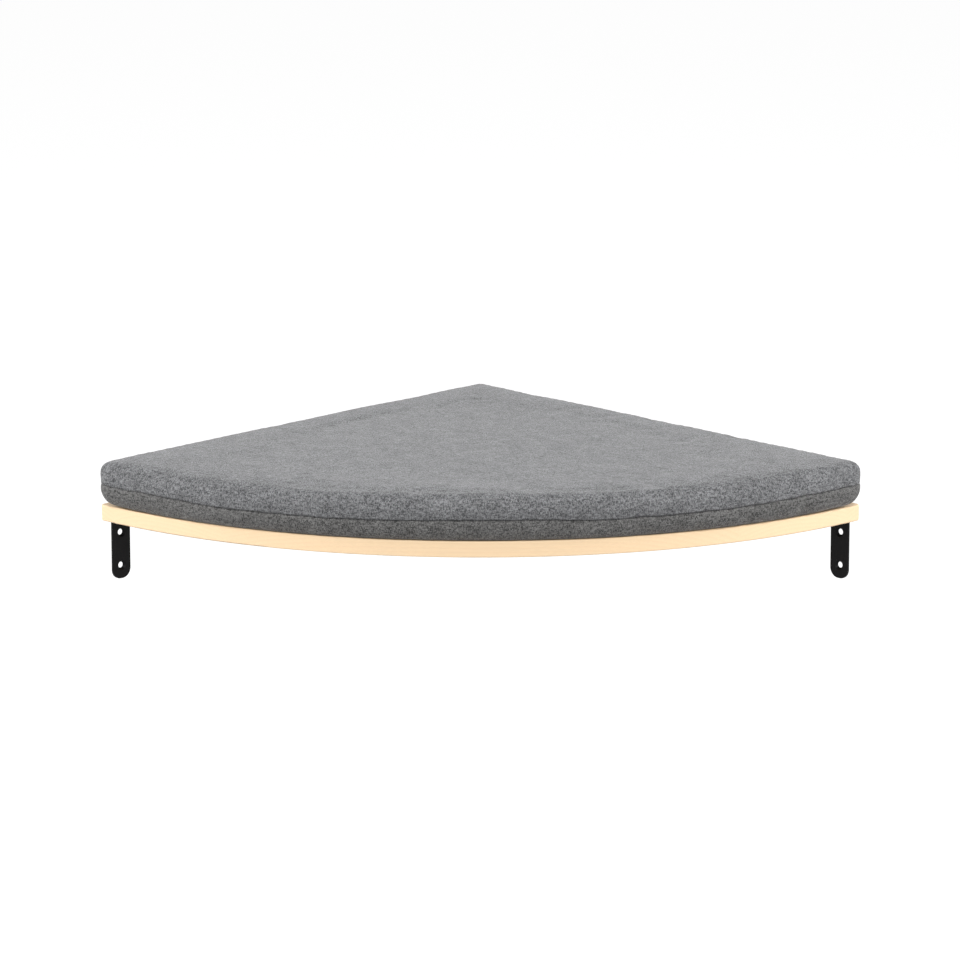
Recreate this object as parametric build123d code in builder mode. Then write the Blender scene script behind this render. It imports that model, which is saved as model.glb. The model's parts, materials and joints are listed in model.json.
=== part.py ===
from build123d import *
import math
import os

# Corner bed for a cat: a quarter-round board carried by four bent brackets, with a zipped foam cushion.
# Millimetres. The origin is the corner of the room at the height of the board's underside.
# One wall is the plane X = 0, the other is Y = 0, and the board fills the quarter between +X and +Y.
# Left and right are as seen by someone who faces the corner.

# Board
board_radius = 395.0
board_thickness = 12.0
board_front_turn = 4.4
board_back_turn = 3.0
board_arris = 1.0

# Brackets, bent from flat strip
strip_width = 17.0
strip_thickness = 2.0
strip_arris = 0.3
bend_radius = 1.0
leg_length = 47.0
leg_turn = 7.5
first_hole = 12.0
last_hole_edge = 10.0
hole_radius = 2.25
sink_radius = 3.75
sink_angle = 90.0
outer_bracket_inset = 19.4
inner_bracket_place = 110.0

# Screws up into the board
screw_shank_radius = 1.7
screw_reach = 9.5
screw_tip = 2.5
screw_fit = 0.05
head_sink = 0.1
head_play = 0.15
recess_width = 0.9
recess_span = 3.6
recess_depth = 1.1

# Hook and loop patches under the cushion
patch_length = 60.0
patch_width = 20.0
patch_turn = 4.0
hook_thickness = 1.0
loop_thickness = 1.0
patch_play = 0.3
front_patch_inset = 95.0
front_patch_angle = 24.0
back_patch_radius = 120.0

# Cushion, outside
cushion_overhang = 7.5
wall_gap = 1.0
cushion_thickness = 33.5
crown = 2.5
crown_shares = (0.85, 0.6, 0.3)
seam_rise = 17.0
seam_groove = 0.9
seam_lip = 1.4
top_edge_radius = 8.0
bottom_edge_radius = 4.5
draw_in = 2.4
front_corner_turn = 7.0
apex_turn = 2.0
edge_steps = 3

# Cushion, inside
cover_thickness = 1.2
foam_gap = 0.3

# Zip, in a channel along the side that stands against the wall X = 0
zip_start = 60.0
zip_length = 270.0
channel_depth = 4.6
channel_half_height = 6.5
channel_tail = 3.0
slot_half_height = 4.0
tape_thickness = 0.6
tape_tail = 6.0
tape_margin = 0.2
row_gap = 1.0
row_height = 1.8
row_depth = 2.0
bead_height = 0.7
tooth_pitch = 2.5
tooth_width = 1.4
stop_length = 3.0
stop_rise = 0.8

# Slider and pull
slider_length = 9.0
slider_turn = 1.2
slider_play = 0.3
plate_thickness = 1.0
back_plate_thickness = 0.8
rail_thickness = 0.9
post_thickness = 0.6
post_length = 1.5
arch_thickness = 0.8
arch_width = 1.2
arch_inside = 3.2
arch_post = 1.0
arch_turn = 0.7
pin_radius = 0.4
pin_play = 0.1
pull_length = 24.0
pull_head_width = 5.0
pull_tail_width = 4.2
pull_turn = 1.4
pull_play = 0.3
grip_slot_length = 8.0
grip_slot_width = 1.6
grip_slot_edge = 2.4

# Overrun of every cut
over = 2.0

# Places that follow from the sizes
outer_bracket_place = board_radius - outer_bracket_inset
front_patch_radius = board_radius - front_patch_inset
cushion_radius = board_radius + cushion_overhang
seam_height = board_thickness + seam_rise
cushion_top = board_thickness + cushion_thickness
deepest_inset = max(top_edge_radius, draw_in + bottom_edge_radius)
crown_centre = wall_gap + (cushion_radius - wall_gap * math.sqrt(2)) / (1 + math.sqrt(2))
patch_top = board_thickness + hook_thickness + loop_thickness
hole_steps = (first_hole, leg_length - last_hole_edge)
zip_end = zip_start + zip_length
zip_middle = zip_start + zip_length / 2
channel_floor = wall_gap + channel_depth
tape_face = channel_floor + cover_thickness
tape_back = tape_face + tape_thickness
tape_height = channel_half_height + cover_thickness - tape_margin - row_gap / 2
row_face = tape_face - row_depth
plate_back = row_face - slider_play
plate_face = plate_back - plate_thickness
back_plate_face = tape_back + slider_play
slider_back = back_plate_face + back_plate_thickness
rail_inside = row_gap / 2 + row_height + slider_play
slider_half_height = rail_inside + rail_thickness
slider_middle = zip_end - slider_length / 2 - slider_play
track_half_height = slider_half_height + slider_play
pin_place = plate_face - pin_radius - pin_play
arch_top = pin_place - pin_radius - pin_play - arch_thickness
arch_reach = math.hypot(arch_inside / 2 + arch_post, pin_place - arch_top)
slider_lowest = zip_start + slider_length / 2 + slider_play
channel_low_end = slider_lowest - pull_length - channel_tail
channel_high_end = slider_middle + pull_length + channel_tail

# Each bracket is made against the wall Y = 0 and then stood in its place, turned for the wall X = 0
bracket_places = {
    "left_outer": Location((outer_bracket_place, 0, 0)),
    "left_inner": Location((inner_bracket_place, 0, 0)),
    "right_outer": Location((0, outer_bracket_place, 0), (0, 0, -90)),
    "right_inner": Location((0, inner_bracket_place, 0), (0, 0, -90)),
}


def save(piece, name):
    """Labels a finished piece and writes it."""
    piece.part.label = name
    export_step(piece.part, f"parts/{name}.step")


def screw_profile(play):
    """Half section of a sunk-head wood screw that stands in the board's underside, swollen by a play."""
    head_face = head_sink - strip_thickness - play
    head_radius = sink_radius - head_play + play
    shank_radius = screw_shank_radius + play
    with BuildSketch(Plane.XZ) as profile:
        with BuildLine():
            Polyline(
                (0, head_face),
                (head_radius, head_face),
                (shank_radius, head_face + head_radius - shank_radius),
                (shank_radius, screw_reach - screw_tip),
                (0, screw_reach + play),
                close=True,
            )
        make_face()
    return profile.sketch


def patch_outlines(height, margin):
    """Outlines of the three patches that hold the cushion down, each widened by a margin."""
    width = patch_width + 2 * margin
    length = patch_length + 2 * margin
    spread = 90 - 2 * front_patch_angle
    with BuildSketch(Plane.XY.offset(height)) as outlines:
        with PolarLocations(front_patch_radius, 2, front_patch_angle, spread, endpoint=True):
            RectangleRounded(width, length, patch_turn + margin)
        with PolarLocations(back_patch_radius, 1, 45):
            RectangleRounded(width, length, patch_turn + margin)
    return outlines.sketch


def cushion_level(height, inset, share=1):
    """The cushion's outline at one height: two straight sides, three turned corners and a bowed front."""
    side = share * (wall_gap + inset)
    front = share * (cushion_radius - inset)
    apex = share * (apex_turn + deepest_inset - inset)
    corner = share * (front_corner_turn + deepest_inset - inset)
    across = side + corner
    along = math.sqrt((front - corner) ** 2 - across**2)
    tilt = math.degrees(math.atan2(across, along))
    shift = crown_centre * (1 - share)
    with BuildSketch(Plane((shift, shift, height))) as level:
        with BuildLine():
            CenterArc((side + apex, side + apex), apex, 180, 90)
            Line((side + apex, side), (along, side))
            CenterArc((along, across), corner, -90, 90 + tilt)
            CenterArc((0, 0), front, tilt, 90 - 2 * tilt)
            CenterArc((across, along), corner, 90 - tilt, 90 + tilt)
            Line((side, along), (side, side + apex))
        make_face()
    return level.sketch


def edge_angles():
    """Angles of the levels that round an edge of the cushion, from flat to upright."""
    return [math.radians(90 * step / edge_steps) for step in range(edge_steps + 1)]


def lower_levels(skin):
    """Levels of the cushion from its bottom panel up to the seam, a skin's thickness in."""
    turn = bottom_edge_radius - skin
    levels = []
    for angle in edge_angles():
        rise = bottom_edge_radius - turn * math.cos(angle)
        inset = draw_in + bottom_edge_radius - turn * math.sin(angle)
        levels.append(cushion_level(board_thickness + rise, inset))
    levels.append(cushion_level(seam_height - seam_lip, skin))
    levels.append(cushion_level(seam_height, seam_groove + skin))
    return levels


def upper_levels(skin):
    """Levels of the cushion from the seam up over its rounded edge and in to the crowned top panel."""
    turn = top_edge_radius - skin
    levels = [cushion_level(seam_height, seam_groove + skin), cushion_level(seam_height + seam_lip, skin)]
    for angle in reversed(edge_angles()):
        drop = top_edge_radius - turn * math.cos(angle)
        inset = top_edge_radius - turn * math.sin(angle)
        levels.append(cushion_level(cushion_top - drop, inset))
    for share in crown_shares:
        rise = crown * (1 - share**2) - skin
        levels.append(cushion_level(cushion_top + rise, top_edge_radius, share))
    return levels


def zip_plane(depth):
    """Plane of the zip at a depth from the wall: its x runs along the zip and its y up from the seam."""
    return Plane((depth, 0, seam_height), x_dir=(0, 1, 0), z_dir=(1, 0, 0))


def recess_outline(start, end, half_height):
    """Round-ended outline along the seam, on a plane just outside the wall side."""
    with BuildSketch(zip_plane(-over)) as outline:
        with Locations(((start + end) / 2, 0)):
            SlotOverall(end - start, 2 * half_height)
    return outline.sketch


def channel_outline(margin):
    """Outline of the channel that the zip lies in, widened by a margin."""
    height = channel_half_height + margin
    return recess_outline(channel_low_end - margin, channel_high_end + margin, height)


os.makedirs("parts", exist_ok=True)

# Screw with a cross recess, and the hole that it makes in the board
with BuildPart() as screw:
    revolve(screw_profile(0), axis=Axis.Z)
    with Locations((0, 0, head_sink - strip_thickness + (recess_depth - over) / 2)):
        Box(recess_span, recess_width, recess_depth + over, mode=Mode.SUBTRACT)
        Box(recess_width, recess_span, recess_depth + over, mode=Mode.SUBTRACT)

with BuildPart() as screw_room:
    revolve(screw_profile(screw_fit), axis=Axis.Z)

# Board: a quarter disc with its corners turned and its edges eased
with BuildPart() as shelf_board:
    with BuildSketch():
        with BuildLine():
            Line((0, board_radius), (0, 0))
            Line((0, 0), (board_radius, 0))
            CenterArc((0, 0), board_radius, 0, 90)
        make_face()
    extrude(amount=board_thickness)
    back_corner, *front_corners = shelf_board.edges().filter_by(Axis.Z).sort_by_distance((0, 0, 0))
    fillet(front_corners, board_front_turn)
    fillet(back_corner, board_back_turn)
    fillet(shelf_board.faces().filter_by(Axis.Z).edges(), board_arris)
    with Locations(*bracket_places.values()):
        with Locations(*[(0, step, 0) for step in hole_steps]):
            add(screw_room.part, mode=Mode.SUBTRACT)
save(shelf_board, "shelf_board")

# Bracket: two legs with rounded ends, one along under the board and one down the wall, joined by a bend
with BuildPart() as bracket:
    bend_outside = bend_radius + strip_thickness
    wall_leg = Plane((0, 0, 0), x_dir=(1, 0, 0), z_dir=(0, 1, 0))
    board_leg = Plane((0, 0, 0), x_dir=(-1, 0, 0), z_dir=(0, 0, -1))
    for leg in (wall_leg, board_leg):
        with BuildSketch(leg) as outline:
            with Locations((0, (bend_outside + leg_length) / 2)):
                Rectangle(strip_width, leg_length - bend_outside)
            fillet(outline.vertices().group_by(Axis.Y)[-1], leg_turn)
        extrude(amount=strip_thickness)
    with BuildSketch(Plane.YZ):
        with BuildLine():
            CenterArc((bend_outside, -bend_outside), bend_outside, 90, 90)
            Line((0, -bend_outside), (strip_thickness, -bend_outside))
            CenterArc((bend_outside, -bend_outside), bend_radius, 90, 90)
            Line((bend_outside, -strip_thickness), (bend_outside, 0))
        make_face()
    extrude(amount=strip_width / 2, both=True)
    outline_edges = bracket.edges().filter_by(Axis.X, reverse=True)
    fillet(outline_edges.filter_by(lambda edge: edge.length > bend_outside), strip_arris)
    with Locations(*[Location((0, strip_thickness, -step), (-90, 0, 0)) for step in hole_steps]):
        CounterSinkHole(hole_radius, sink_radius, strip_thickness + over, sink_angle)
    with Locations(*[Location((0, step, -strip_thickness), (180, 0, 0)) for step in hole_steps]):
        CounterSinkHole(hole_radius, sink_radius, strip_thickness + over, sink_angle)

for side, place in bracket_places.items():
    with BuildPart() as placed_bracket:
        with Locations(place):
            add(bracket.part)
    save(placed_bracket, f"{side}_bracket")
    with BuildPart() as placed_screws:
        with Locations(place):
            with Locations(*[(0, step, 0) for step in hole_steps]):
                add(screw.part)
    save(placed_screws, f"{side}_screws")

# Patches: the hooked ones on the board, the looped ones sewn under the cushion
with BuildPart() as hook_patches:
    extrude(patch_outlines(board_thickness, 0), amount=hook_thickness)
save(hook_patches, "hook_patches")

with BuildPart() as loop_patches:
    extrude(patch_outlines(board_thickness + hook_thickness, 0), amount=loop_thickness)
save(loop_patches, "loop_patches")

# Cover: two shells that meet at the seam, with the zip's channel let into the wall side.
# The patches press up into the bottom panel, and the teeth show through a slot in the channel's floor.
pocket_base = board_thickness - over
slot_tail = stop_length + slot_half_height
teeth_slot = recess_outline(zip_start - slot_tail, zip_end + slot_tail, slot_half_height)

with BuildPart() as lower_room:
    loft(lower_levels(cover_thickness), ruled=True)
    extrude(channel_outline(cover_thickness), amount=tape_face + over, mode=Mode.SUBTRACT)
    dents = patch_outlines(pocket_base, patch_play + cover_thickness)
    extrude(dents, amount=patch_top + cover_thickness - pocket_base, mode=Mode.SUBTRACT)

with BuildPart() as cover_bottom:
    loft(lower_levels(0), ruled=True)
    extrude(channel_outline(0), amount=channel_floor + over, mode=Mode.SUBTRACT)
    extrude(patch_outlines(pocket_base, patch_play), amount=patch_top - pocket_base, mode=Mode.SUBTRACT)
    add(lower_room.part, mode=Mode.SUBTRACT)
    extrude(teeth_slot, amount=tape_back + over, mode=Mode.SUBTRACT)
save(cover_bottom, "cover_bottom")

with BuildPart() as upper_room:
    loft(upper_levels(cover_thickness), ruled=True)
    extrude(channel_outline(cover_thickness), amount=tape_face + over, mode=Mode.SUBTRACT)

with BuildPart() as cover_top:
    loft(upper_levels(0), ruled=True)
    extrude(channel_outline(0), amount=channel_floor + over, mode=Mode.SUBTRACT)
    add(upper_room.part, mode=Mode.SUBTRACT)
    extrude(teeth_slot, amount=tape_back + over, mode=Mode.SUBTRACT)
save(cover_top, "cover_top")

# Foam: fills the cover, with room for the zip's tapes and for the slider's run behind them
foam_skin = cover_thickness + foam_gap
track = recess_outline(zip_start - track_half_height, zip_end + track_half_height, track_half_height)

with BuildPart() as foam_core:
    loft(lower_levels(foam_skin), ruled=True)
    loft(upper_levels(foam_skin), ruled=True)
    extrude(channel_outline(foam_skin), amount=tape_back + foam_gap + over, mode=Mode.SUBTRACT)
    extrude(track, amount=slider_back + foam_gap + over, mode=Mode.SUBTRACT)
    dents = patch_outlines(pocket_base, patch_play + foam_skin)
    extrude(dents, amount=patch_top + foam_skin - pocket_base, mode=Mode.SUBTRACT)
save(foam_core, "foam_core")

# Zip: a tape sewn behind each cover, a row of teeth on each tape, and stops at the ends
tooth_count = math.floor(zip_length / tooth_pitch) - 1
tooth_height = row_height - bead_height / 2
for side, up in {"upper": 1, "lower": -1}.items():
    with BuildPart() as tape:
        with BuildSketch(zip_plane(tape_face)):
            with Locations((zip_middle, up * (row_gap + tape_height) / 2)):
                Rectangle(zip_length + 2 * tape_tail, tape_height)
        extrude(amount=tape_thickness)
    save(tape, f"zip_{side}_tape")
    with BuildPart() as row:
        with BuildSketch(zip_plane(row_face)):
            with Locations((zip_middle, up * (row_gap / 2 + row_height - bead_height / 2))):
                Rectangle(zip_length, bead_height)
            with Locations((zip_middle + up * tooth_pitch / 4, up * (row_gap + tooth_height) / 2)):
                with GridLocations(tooth_pitch, tooth_pitch, tooth_count, 1):
                    Rectangle(tooth_width, tooth_height)
        extrude(amount=row_depth)
    save(row, f"zip_{side}_teeth")

with BuildPart() as zip_stops:
    with BuildSketch(zip_plane(row_face - stop_rise)):
        with Locations((zip_start - stop_length / 2, 0)):
            Rectangle(stop_length, row_gap + 2 * row_height)
        with Locations((zip_end + stop_length / 2, 0)):
            with GridLocations(stop_length, row_gap + row_height, 1, 2):
                Rectangle(stop_length, row_height)
    extrude(amount=row_depth + stop_rise)
save(zip_stops, "zip_stops")

# Slider: a plate on each side of the tapes, joined by a post, with rails beside the teeth and an arch on top
with BuildPart() as zip_slider:
    for face, thickness in ((plate_face, plate_thickness), (back_plate_face, back_plate_thickness)):
        with BuildSketch(zip_plane(face)):
            with Locations((slider_middle, 0)):
                RectangleRounded(slider_length, 2 * slider_half_height, slider_turn)
        extrude(amount=thickness)
    with BuildSketch(zip_plane(plate_back)):
        with Locations((slider_middle, 0)):
            with GridLocations(slider_length, 2 * rail_inside + rail_thickness, 1, 2):
                Rectangle(slider_length - 2 * slider_turn, rail_thickness)
    extrude(amount=tape_face - slider_play - plate_back)
    with BuildSketch(zip_plane(plate_back)):
        with Locations((slider_middle + slider_length / 2 - slider_turn - post_length / 2, 0)):
            Rectangle(post_length, post_thickness)
    extrude(amount=back_plate_face - plate_back)
    with BuildSketch(Plane.XY.offset(seam_height)) as arch:
        with Locations(((arch_top + plate_face) / 2, slider_middle)):
            Rectangle(plate_face - arch_top, arch_inside + 2 * arch_post)
        fillet(arch.vertices().group_by(Axis.X)[0], arch_turn)
        with Locations((pin_place, slider_middle)):
            Rectangle(2 * (pin_radius + pin_play), arch_inside, mode=Mode.SUBTRACT)
    extrude(amount=arch_width / 2, both=True)
save(zip_slider, "zip_slider")

# Pull: a tapered tab whose eye goes round the arch, with its round cross pin under the arch
with BuildPart() as zip_pull:
    eye_length = arch_reach + pull_play
    eye_height = arch_width + 2 * pull_play
    tail = slider_middle - pull_length
    with BuildSketch(zip_plane(pin_place - pin_radius)) as tab:
        with BuildLine():
            Polyline(
                (slider_middle, pull_head_width / 2),
                (slider_middle, -pull_head_width / 2),
                (tail, -pull_tail_width / 2),
                (tail, pull_tail_width / 2),
                close=True,
            )
        make_face()
        fillet(tab.vertices().group_by(Axis.X)[0], pull_turn)
        with Locations((slider_middle - eye_length / 2, 0)):
            Rectangle(eye_length, eye_height, mode=Mode.SUBTRACT)
        with Locations((tail + grip_slot_edge + grip_slot_length / 2, 0)):
            SlotOverall(grip_slot_length, grip_slot_width, mode=Mode.SUBTRACT)
    extrude(amount=2 * pin_radius)
    with Locations((pin_place, slider_middle, seam_height)):
        Cylinder(pin_radius, pull_head_width)
save(zip_pull, "zip_pull")
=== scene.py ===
"""Dresses the corner cat bed: board, brackets, patches, cushion and zip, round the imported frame."""

import json
import logging
import math
from dataclasses import dataclass
from enum import Enum

import bmesh
import bpy
import numpy as np
from mathutils import Matrix, Vector, noise
from mathutils.kdtree import KDTree

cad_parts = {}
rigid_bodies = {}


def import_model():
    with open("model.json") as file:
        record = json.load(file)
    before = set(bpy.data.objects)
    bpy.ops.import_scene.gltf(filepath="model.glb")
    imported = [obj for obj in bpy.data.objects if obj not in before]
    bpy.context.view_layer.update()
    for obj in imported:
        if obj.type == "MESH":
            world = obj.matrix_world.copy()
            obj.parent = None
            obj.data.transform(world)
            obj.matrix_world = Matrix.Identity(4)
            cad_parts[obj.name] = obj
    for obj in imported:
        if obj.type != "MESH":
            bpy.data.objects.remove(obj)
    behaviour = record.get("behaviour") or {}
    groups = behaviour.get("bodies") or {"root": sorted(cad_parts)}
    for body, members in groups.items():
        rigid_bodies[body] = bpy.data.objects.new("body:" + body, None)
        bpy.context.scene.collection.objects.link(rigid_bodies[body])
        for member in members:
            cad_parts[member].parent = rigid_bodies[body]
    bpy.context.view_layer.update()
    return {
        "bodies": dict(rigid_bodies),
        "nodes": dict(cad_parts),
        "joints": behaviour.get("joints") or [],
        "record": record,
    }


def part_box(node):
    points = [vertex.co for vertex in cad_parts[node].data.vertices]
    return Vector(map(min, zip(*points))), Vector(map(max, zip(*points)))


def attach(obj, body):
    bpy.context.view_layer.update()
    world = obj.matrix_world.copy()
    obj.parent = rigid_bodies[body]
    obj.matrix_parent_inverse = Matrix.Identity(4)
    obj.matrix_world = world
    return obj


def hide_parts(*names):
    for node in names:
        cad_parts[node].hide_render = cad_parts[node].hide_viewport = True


MM = 0.001
IMAGE_PIXELS = 960
SENSOR_WIDTH = 36.0
CLOTH_MAP = "cloth"
LOG = logging.getLogger("cat_bed")

Node = bpy.types.ShaderNode
Socket = bpy.types.NodeSocket


class Panel(Enum):
    """The two halves of the cushion's cover, each with the way that it goes from the seam."""

    TOP = 1
    BOTTOM = -1


class Sheen(Enum):
    """How strongly a cloth's pile catches light at a low angle, as sheen weight and sheen roughness."""

    SHORT_PILE = (0.37, 0.3)
    WOVEN = (0.2, 0.4)
    BRUSHED = (0.22, 0.4)

    def sockets(self) -> dict[str, float]:
        """The shader's two sheen sockets with their values."""
        return dict(zip(("Sheen Weight", "Sheen Roughness"), self.value))


# Shader graphs


class Graph:
    """A node tree being filled: a material's, the world's or a group's."""

    def __init__(self, tree: bpy.types.NodeTree) -> None:
        """Starts from an empty tree."""
        self.tree = tree
        self.tree.nodes.clear()

    def feed(self, node: Node, inputs: dict) -> Node:
        """Sets a node's inputs, or links them.

        Args:
            node: the node.
            inputs: socket name or number to a value, or to the output socket that feeds it.

        Returns:
            The same node.
        """
        for key, value in inputs.items():
            if isinstance(value, Socket):
                self.tree.links.new(value, node.inputs[key])
            else:
                node.inputs[key].default_value = value
        return node

    def add(self, kind: str, inputs: dict | None = None, **settings: object) -> Node:
        """Adds a node.

        Args:
            kind: the node's type, without the ShaderNode prefix.
            inputs: what its inputs are set to or fed by, as in feed.
            settings: the node's own properties.

        Returns:
            The node.
        """
        node = self.tree.nodes.new(f"ShaderNode{kind}")
        for name, value in settings.items():
            setattr(node, name, value)
        return self.feed(node, inputs or {})

    def math(self, operation: str, first: object, second: object = 0.0, third: object = 0.0) -> Socket:
        """Adds a math node and returns its value."""
        return self.add("Math", {0: first, 1: second, 2: third}, operation=operation).outputs[0]

    def times(self, first: object, second: object) -> Socket:
        """Multiplies two values."""
        return self.math("MULTIPLY", first, second)

    def line(self, value: object, slope: object, start: object) -> Socket:
        """Multiplies a value by a slope and adds it to a start."""
        return self.math("MULTIPLY_ADD", value, slope, start)

    def wave(self, value: Socket) -> Socket:
        """A sine wave that crosses zero at every whole number, like a row of threads one unit wide."""
        return self.math("SINE", self.times(value, math.pi))

    def vector_math(self, operation: str, first: object, second: object) -> Socket:
        """Adds a vector math node and returns its vector."""
        return self.add("VectorMath", {0: first, 1: second}, operation=operation).outputs[0]

    def scaled(self, vector: Socket, scale: object) -> Socket:
        """Multiplies a vector by a value."""
        return self.add("VectorMath", {0: vector, 3: scale}, operation="SCALE").outputs[0]

    def vector(self, x: object, y: object, z: object) -> Socket:
        """Joins three values to a vector."""
        return self.add("CombineXYZ", {0: x, 1: y, 2: z}).outputs[0]

    def split(self, vector: Socket) -> tuple[Socket, ...]:
        """The x, y and z of a vector."""
        return tuple(self.add("SeparateXYZ", {0: vector}).outputs)

    def remap(
        self, value: Socket, low: float, high: float, to_low: float = 0.0, to_high: float = 1.0
    ) -> Socket:
        """Stretches a value's range from low..high to to_low..to_high, with its ends eased."""
        inputs = {"Value": value, "From Min": low, "From Max": high, "To Min": to_low, "To Max": to_high}
        return self.add("MapRange", inputs, interpolation_type="SMOOTHSTEP").outputs[0]

    def noise(self, place: Socket, scale: object, detail: float = 2.0, roughness: float = 0.5) -> Socket:
        """Adds a noise texture and returns its value, which lies about 0.5."""
        inputs = {"Vector": place, "Scale": scale, "Detail": detail, "Roughness": roughness}
        return self.add("TexNoise", inputs).outputs[0]

    def speckle(self, place: Socket, scale: object, detail: float = 2.0, roughness: float = 0.5) -> Socket:
        """Adds a noise texture and spreads its value from 0 to 1."""
        return self.remap(self.noise(place, scale, detail, roughness), 0.3, 0.7)

    def drift(self, place: Socket, scale: object) -> Socket:
        """Adds a noise texture and returns it as a vector that lies about zero."""
        drawn = self.add("TexNoise", {"Vector": place, "Scale": scale, "Detail": 1.0}).outputs[1]
        return self.vector_math("SUBTRACT", drawn, (0.5, 0.5, 0.5))

    def cells(self, place: Socket, scale: float) -> Socket:
        """Adds cells and returns the distance from their middles."""
        return self.add("TexVoronoi", {"Vector": place, "Scale": scale}).outputs[0]

    def place(self, stretch: tuple = (1.0, 1.0, 1.0), turn: float = 0.0) -> Socket:
        """Returns places in metres in the piece's own frame, turned about Z and then stretched.

        Args:
            stretch: what x, y and z are multiplied by.
            turn: the turn about Z in radians.

        Returns:
            The places.
        """
        own = self.add("TexCoord").outputs["Object"]
        turned = self.add("Mapping", {"Vector": own, "Rotation": (0.0, 0.0, turn)}).outputs[0]
        return self.vector_math("MULTIPLY", turned, stretch)

    def mix(self, share: object, first: object, second: object, blend: str = "MIX") -> Socket:
        """Mixes two colours.

        Args:
            share: the second one's share.
            first: a socket, or red, green and blue.
            second: the same.
            blend: how the second one is laid over the first.

        Returns:
            The mixed colour.
        """
        first, second = ((*end, 1.0) if isinstance(end, tuple) else end for end in (first, second))
        node = self.add("Mix", {0: share, 6: first, 7: second}, data_type="RGBA", blend_type=blend)
        return node.outputs[2]

    def tint(self, share: Socket, colour: tuple, darkest: float) -> Socket:
        """Runs from a darker share of a colour up to the colour itself."""
        return self.mix(share, tuple(darkest * part for part in colour), colour)

    def shaded(self, colour: Socket, level: Socket) -> Socket:
        """Multiplies a colour by a level."""
        grey = self.add("CombineColor", {0: level, 1: level, 2: level}).outputs[0]
        return self.mix(1.0, colour, grey, "MULTIPLY")

    def bump(self, height: Socket, depth: float, strength: float = 1.0) -> Socket:
        """The normal of a height from 0 to 1, where 1 stands for a depth in metres."""
        return self.add("Bump", {"Height": height, "Distance": depth, "Strength": strength}).outputs[0]

    def seen(self) -> Socket:
        """1 for what the camera sees, directly or in a glossy surface, and 0 for light on the object."""
        rays = self.add("LightPath").outputs
        return self.math("MAXIMUM", rays["Is Camera Ray"], rays["Is Glossy Ray"])


class Effect:
    """A node group that several finishes use, built once, with named inputs and outputs."""

    name = "effect"
    inputs: dict[str, float | None] = {"Place": None}
    outputs: tuple[str, ...] = ()

    def fill(self, graph: Graph, given: dict[str, Socket]) -> dict[str, Socket]:
        """Builds the effect's nodes.

        Args:
            graph: the group's graph.
            given: the group's inputs by name.

        Returns:
            What feeds each output, by name.
        """
        raise NotImplementedError

    def tree(self) -> bpy.types.NodeTree:
        """Builds the group's tree the first time. An input without a value of its own is a vector.

        Returns:
            The tree.
        """
        made = bpy.data.node_groups.get(self.name)
        if made:
            return made
        made = bpy.data.node_groups.new(self.name, "ShaderNodeTree")
        graph = Graph(made)
        for label, value in self.inputs.items():
            kind = "NodeSocketVector" if value is None else "NodeSocketFloat"
            socket = made.interface.new_socket(label, in_out="INPUT", socket_type=kind)
            if value is not None:
                socket.default_value = value
        for label in self.outputs:
            made.interface.new_socket(label, in_out="OUTPUT", socket_type="NodeSocketFloat")
        source = made.nodes.new("NodeGroupInput")
        filled = self.fill(graph, {label: source.outputs[label] for label in self.inputs})
        graph.feed(made.nodes.new("NodeGroupOutput"), filled)
        return made

    def use(self, graph: Graph, **values: object) -> dict[str, Socket]:
        """Places the group in a material.

        Args:
            graph: the material's graph.
            values: the group's inputs, as numbers or sockets.

        Returns:
            The group's outputs by name.
        """
        node = graph.add("Group", values, node_tree=self.tree())
        return {label: node.outputs[label] for label in self.outputs}


class Linen(Effect):
    """Plain weave of heathered yarns, whose tone changes from yarn to yarn and slowly along each one."""

    name = "linen"
    inputs = {"Place": None, "Yarns Per Metre": 800.0}
    outputs = ("Tone", "Mottle", "Height")

    def yarns(self, graph: Graph, across: Socket, along: Socket, seed: float) -> Socket:
        """Tone of one set of yarns: quick across them and slow along them."""
        return graph.noise(graph.vector(across, graph.times(along, 0.34), seed), 1.15, 1.5, 0.55)

    def fill(self, graph: Graph, given: dict[str, Socket]) -> dict[str, Socket]:
        """Crosses two sets of yarns that take turns on top, and frays them with fine fibres.

        Args:
            graph: the group's graph.
            given: the place and the number of yarns per metre.

        Returns:
            The tone, the slow mottle over it and the height.
        """
        scaled = graph.scaled(given["Place"], given["Yarns Per Metre"])
        shift = graph.vector_math("MULTIPLY", graph.drift(scaled, 0.3), (1.3, 1.3, 0.0))
        across, along, _ = graph.split(graph.vector_math("ADD", scaled, shift))
        first, second = graph.wave(across), graph.wave(along)
        on_top = graph.remap(graph.times(first, second), -0.25, 0.25)
        weft = self.yarns(graph, along, across, 37.0)
        warp = self.yarns(graph, across, along, 0.0)
        tone = graph.remap(graph.add("Mix", {0: on_top, 2: weft, 3: warp}).outputs[0], 0.33, 0.67)
        fibres = graph.noise(scaled, 3.3, 2.0, 0.6)
        crown = graph.times(graph.math("ABSOLUTE", first), graph.math("ABSOLUTE", second))
        return {
            "Tone": graph.line(graph.math("SUBTRACT", fibres, 0.5), 0.5, tone),
            "Mottle": graph.speckle(scaled, 0.06, 5.0, 0.72),
            "Height": graph.line(fibres, 0.35, graph.line(tone, 0.45, graph.times(crown, 0.45))),
        }


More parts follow.
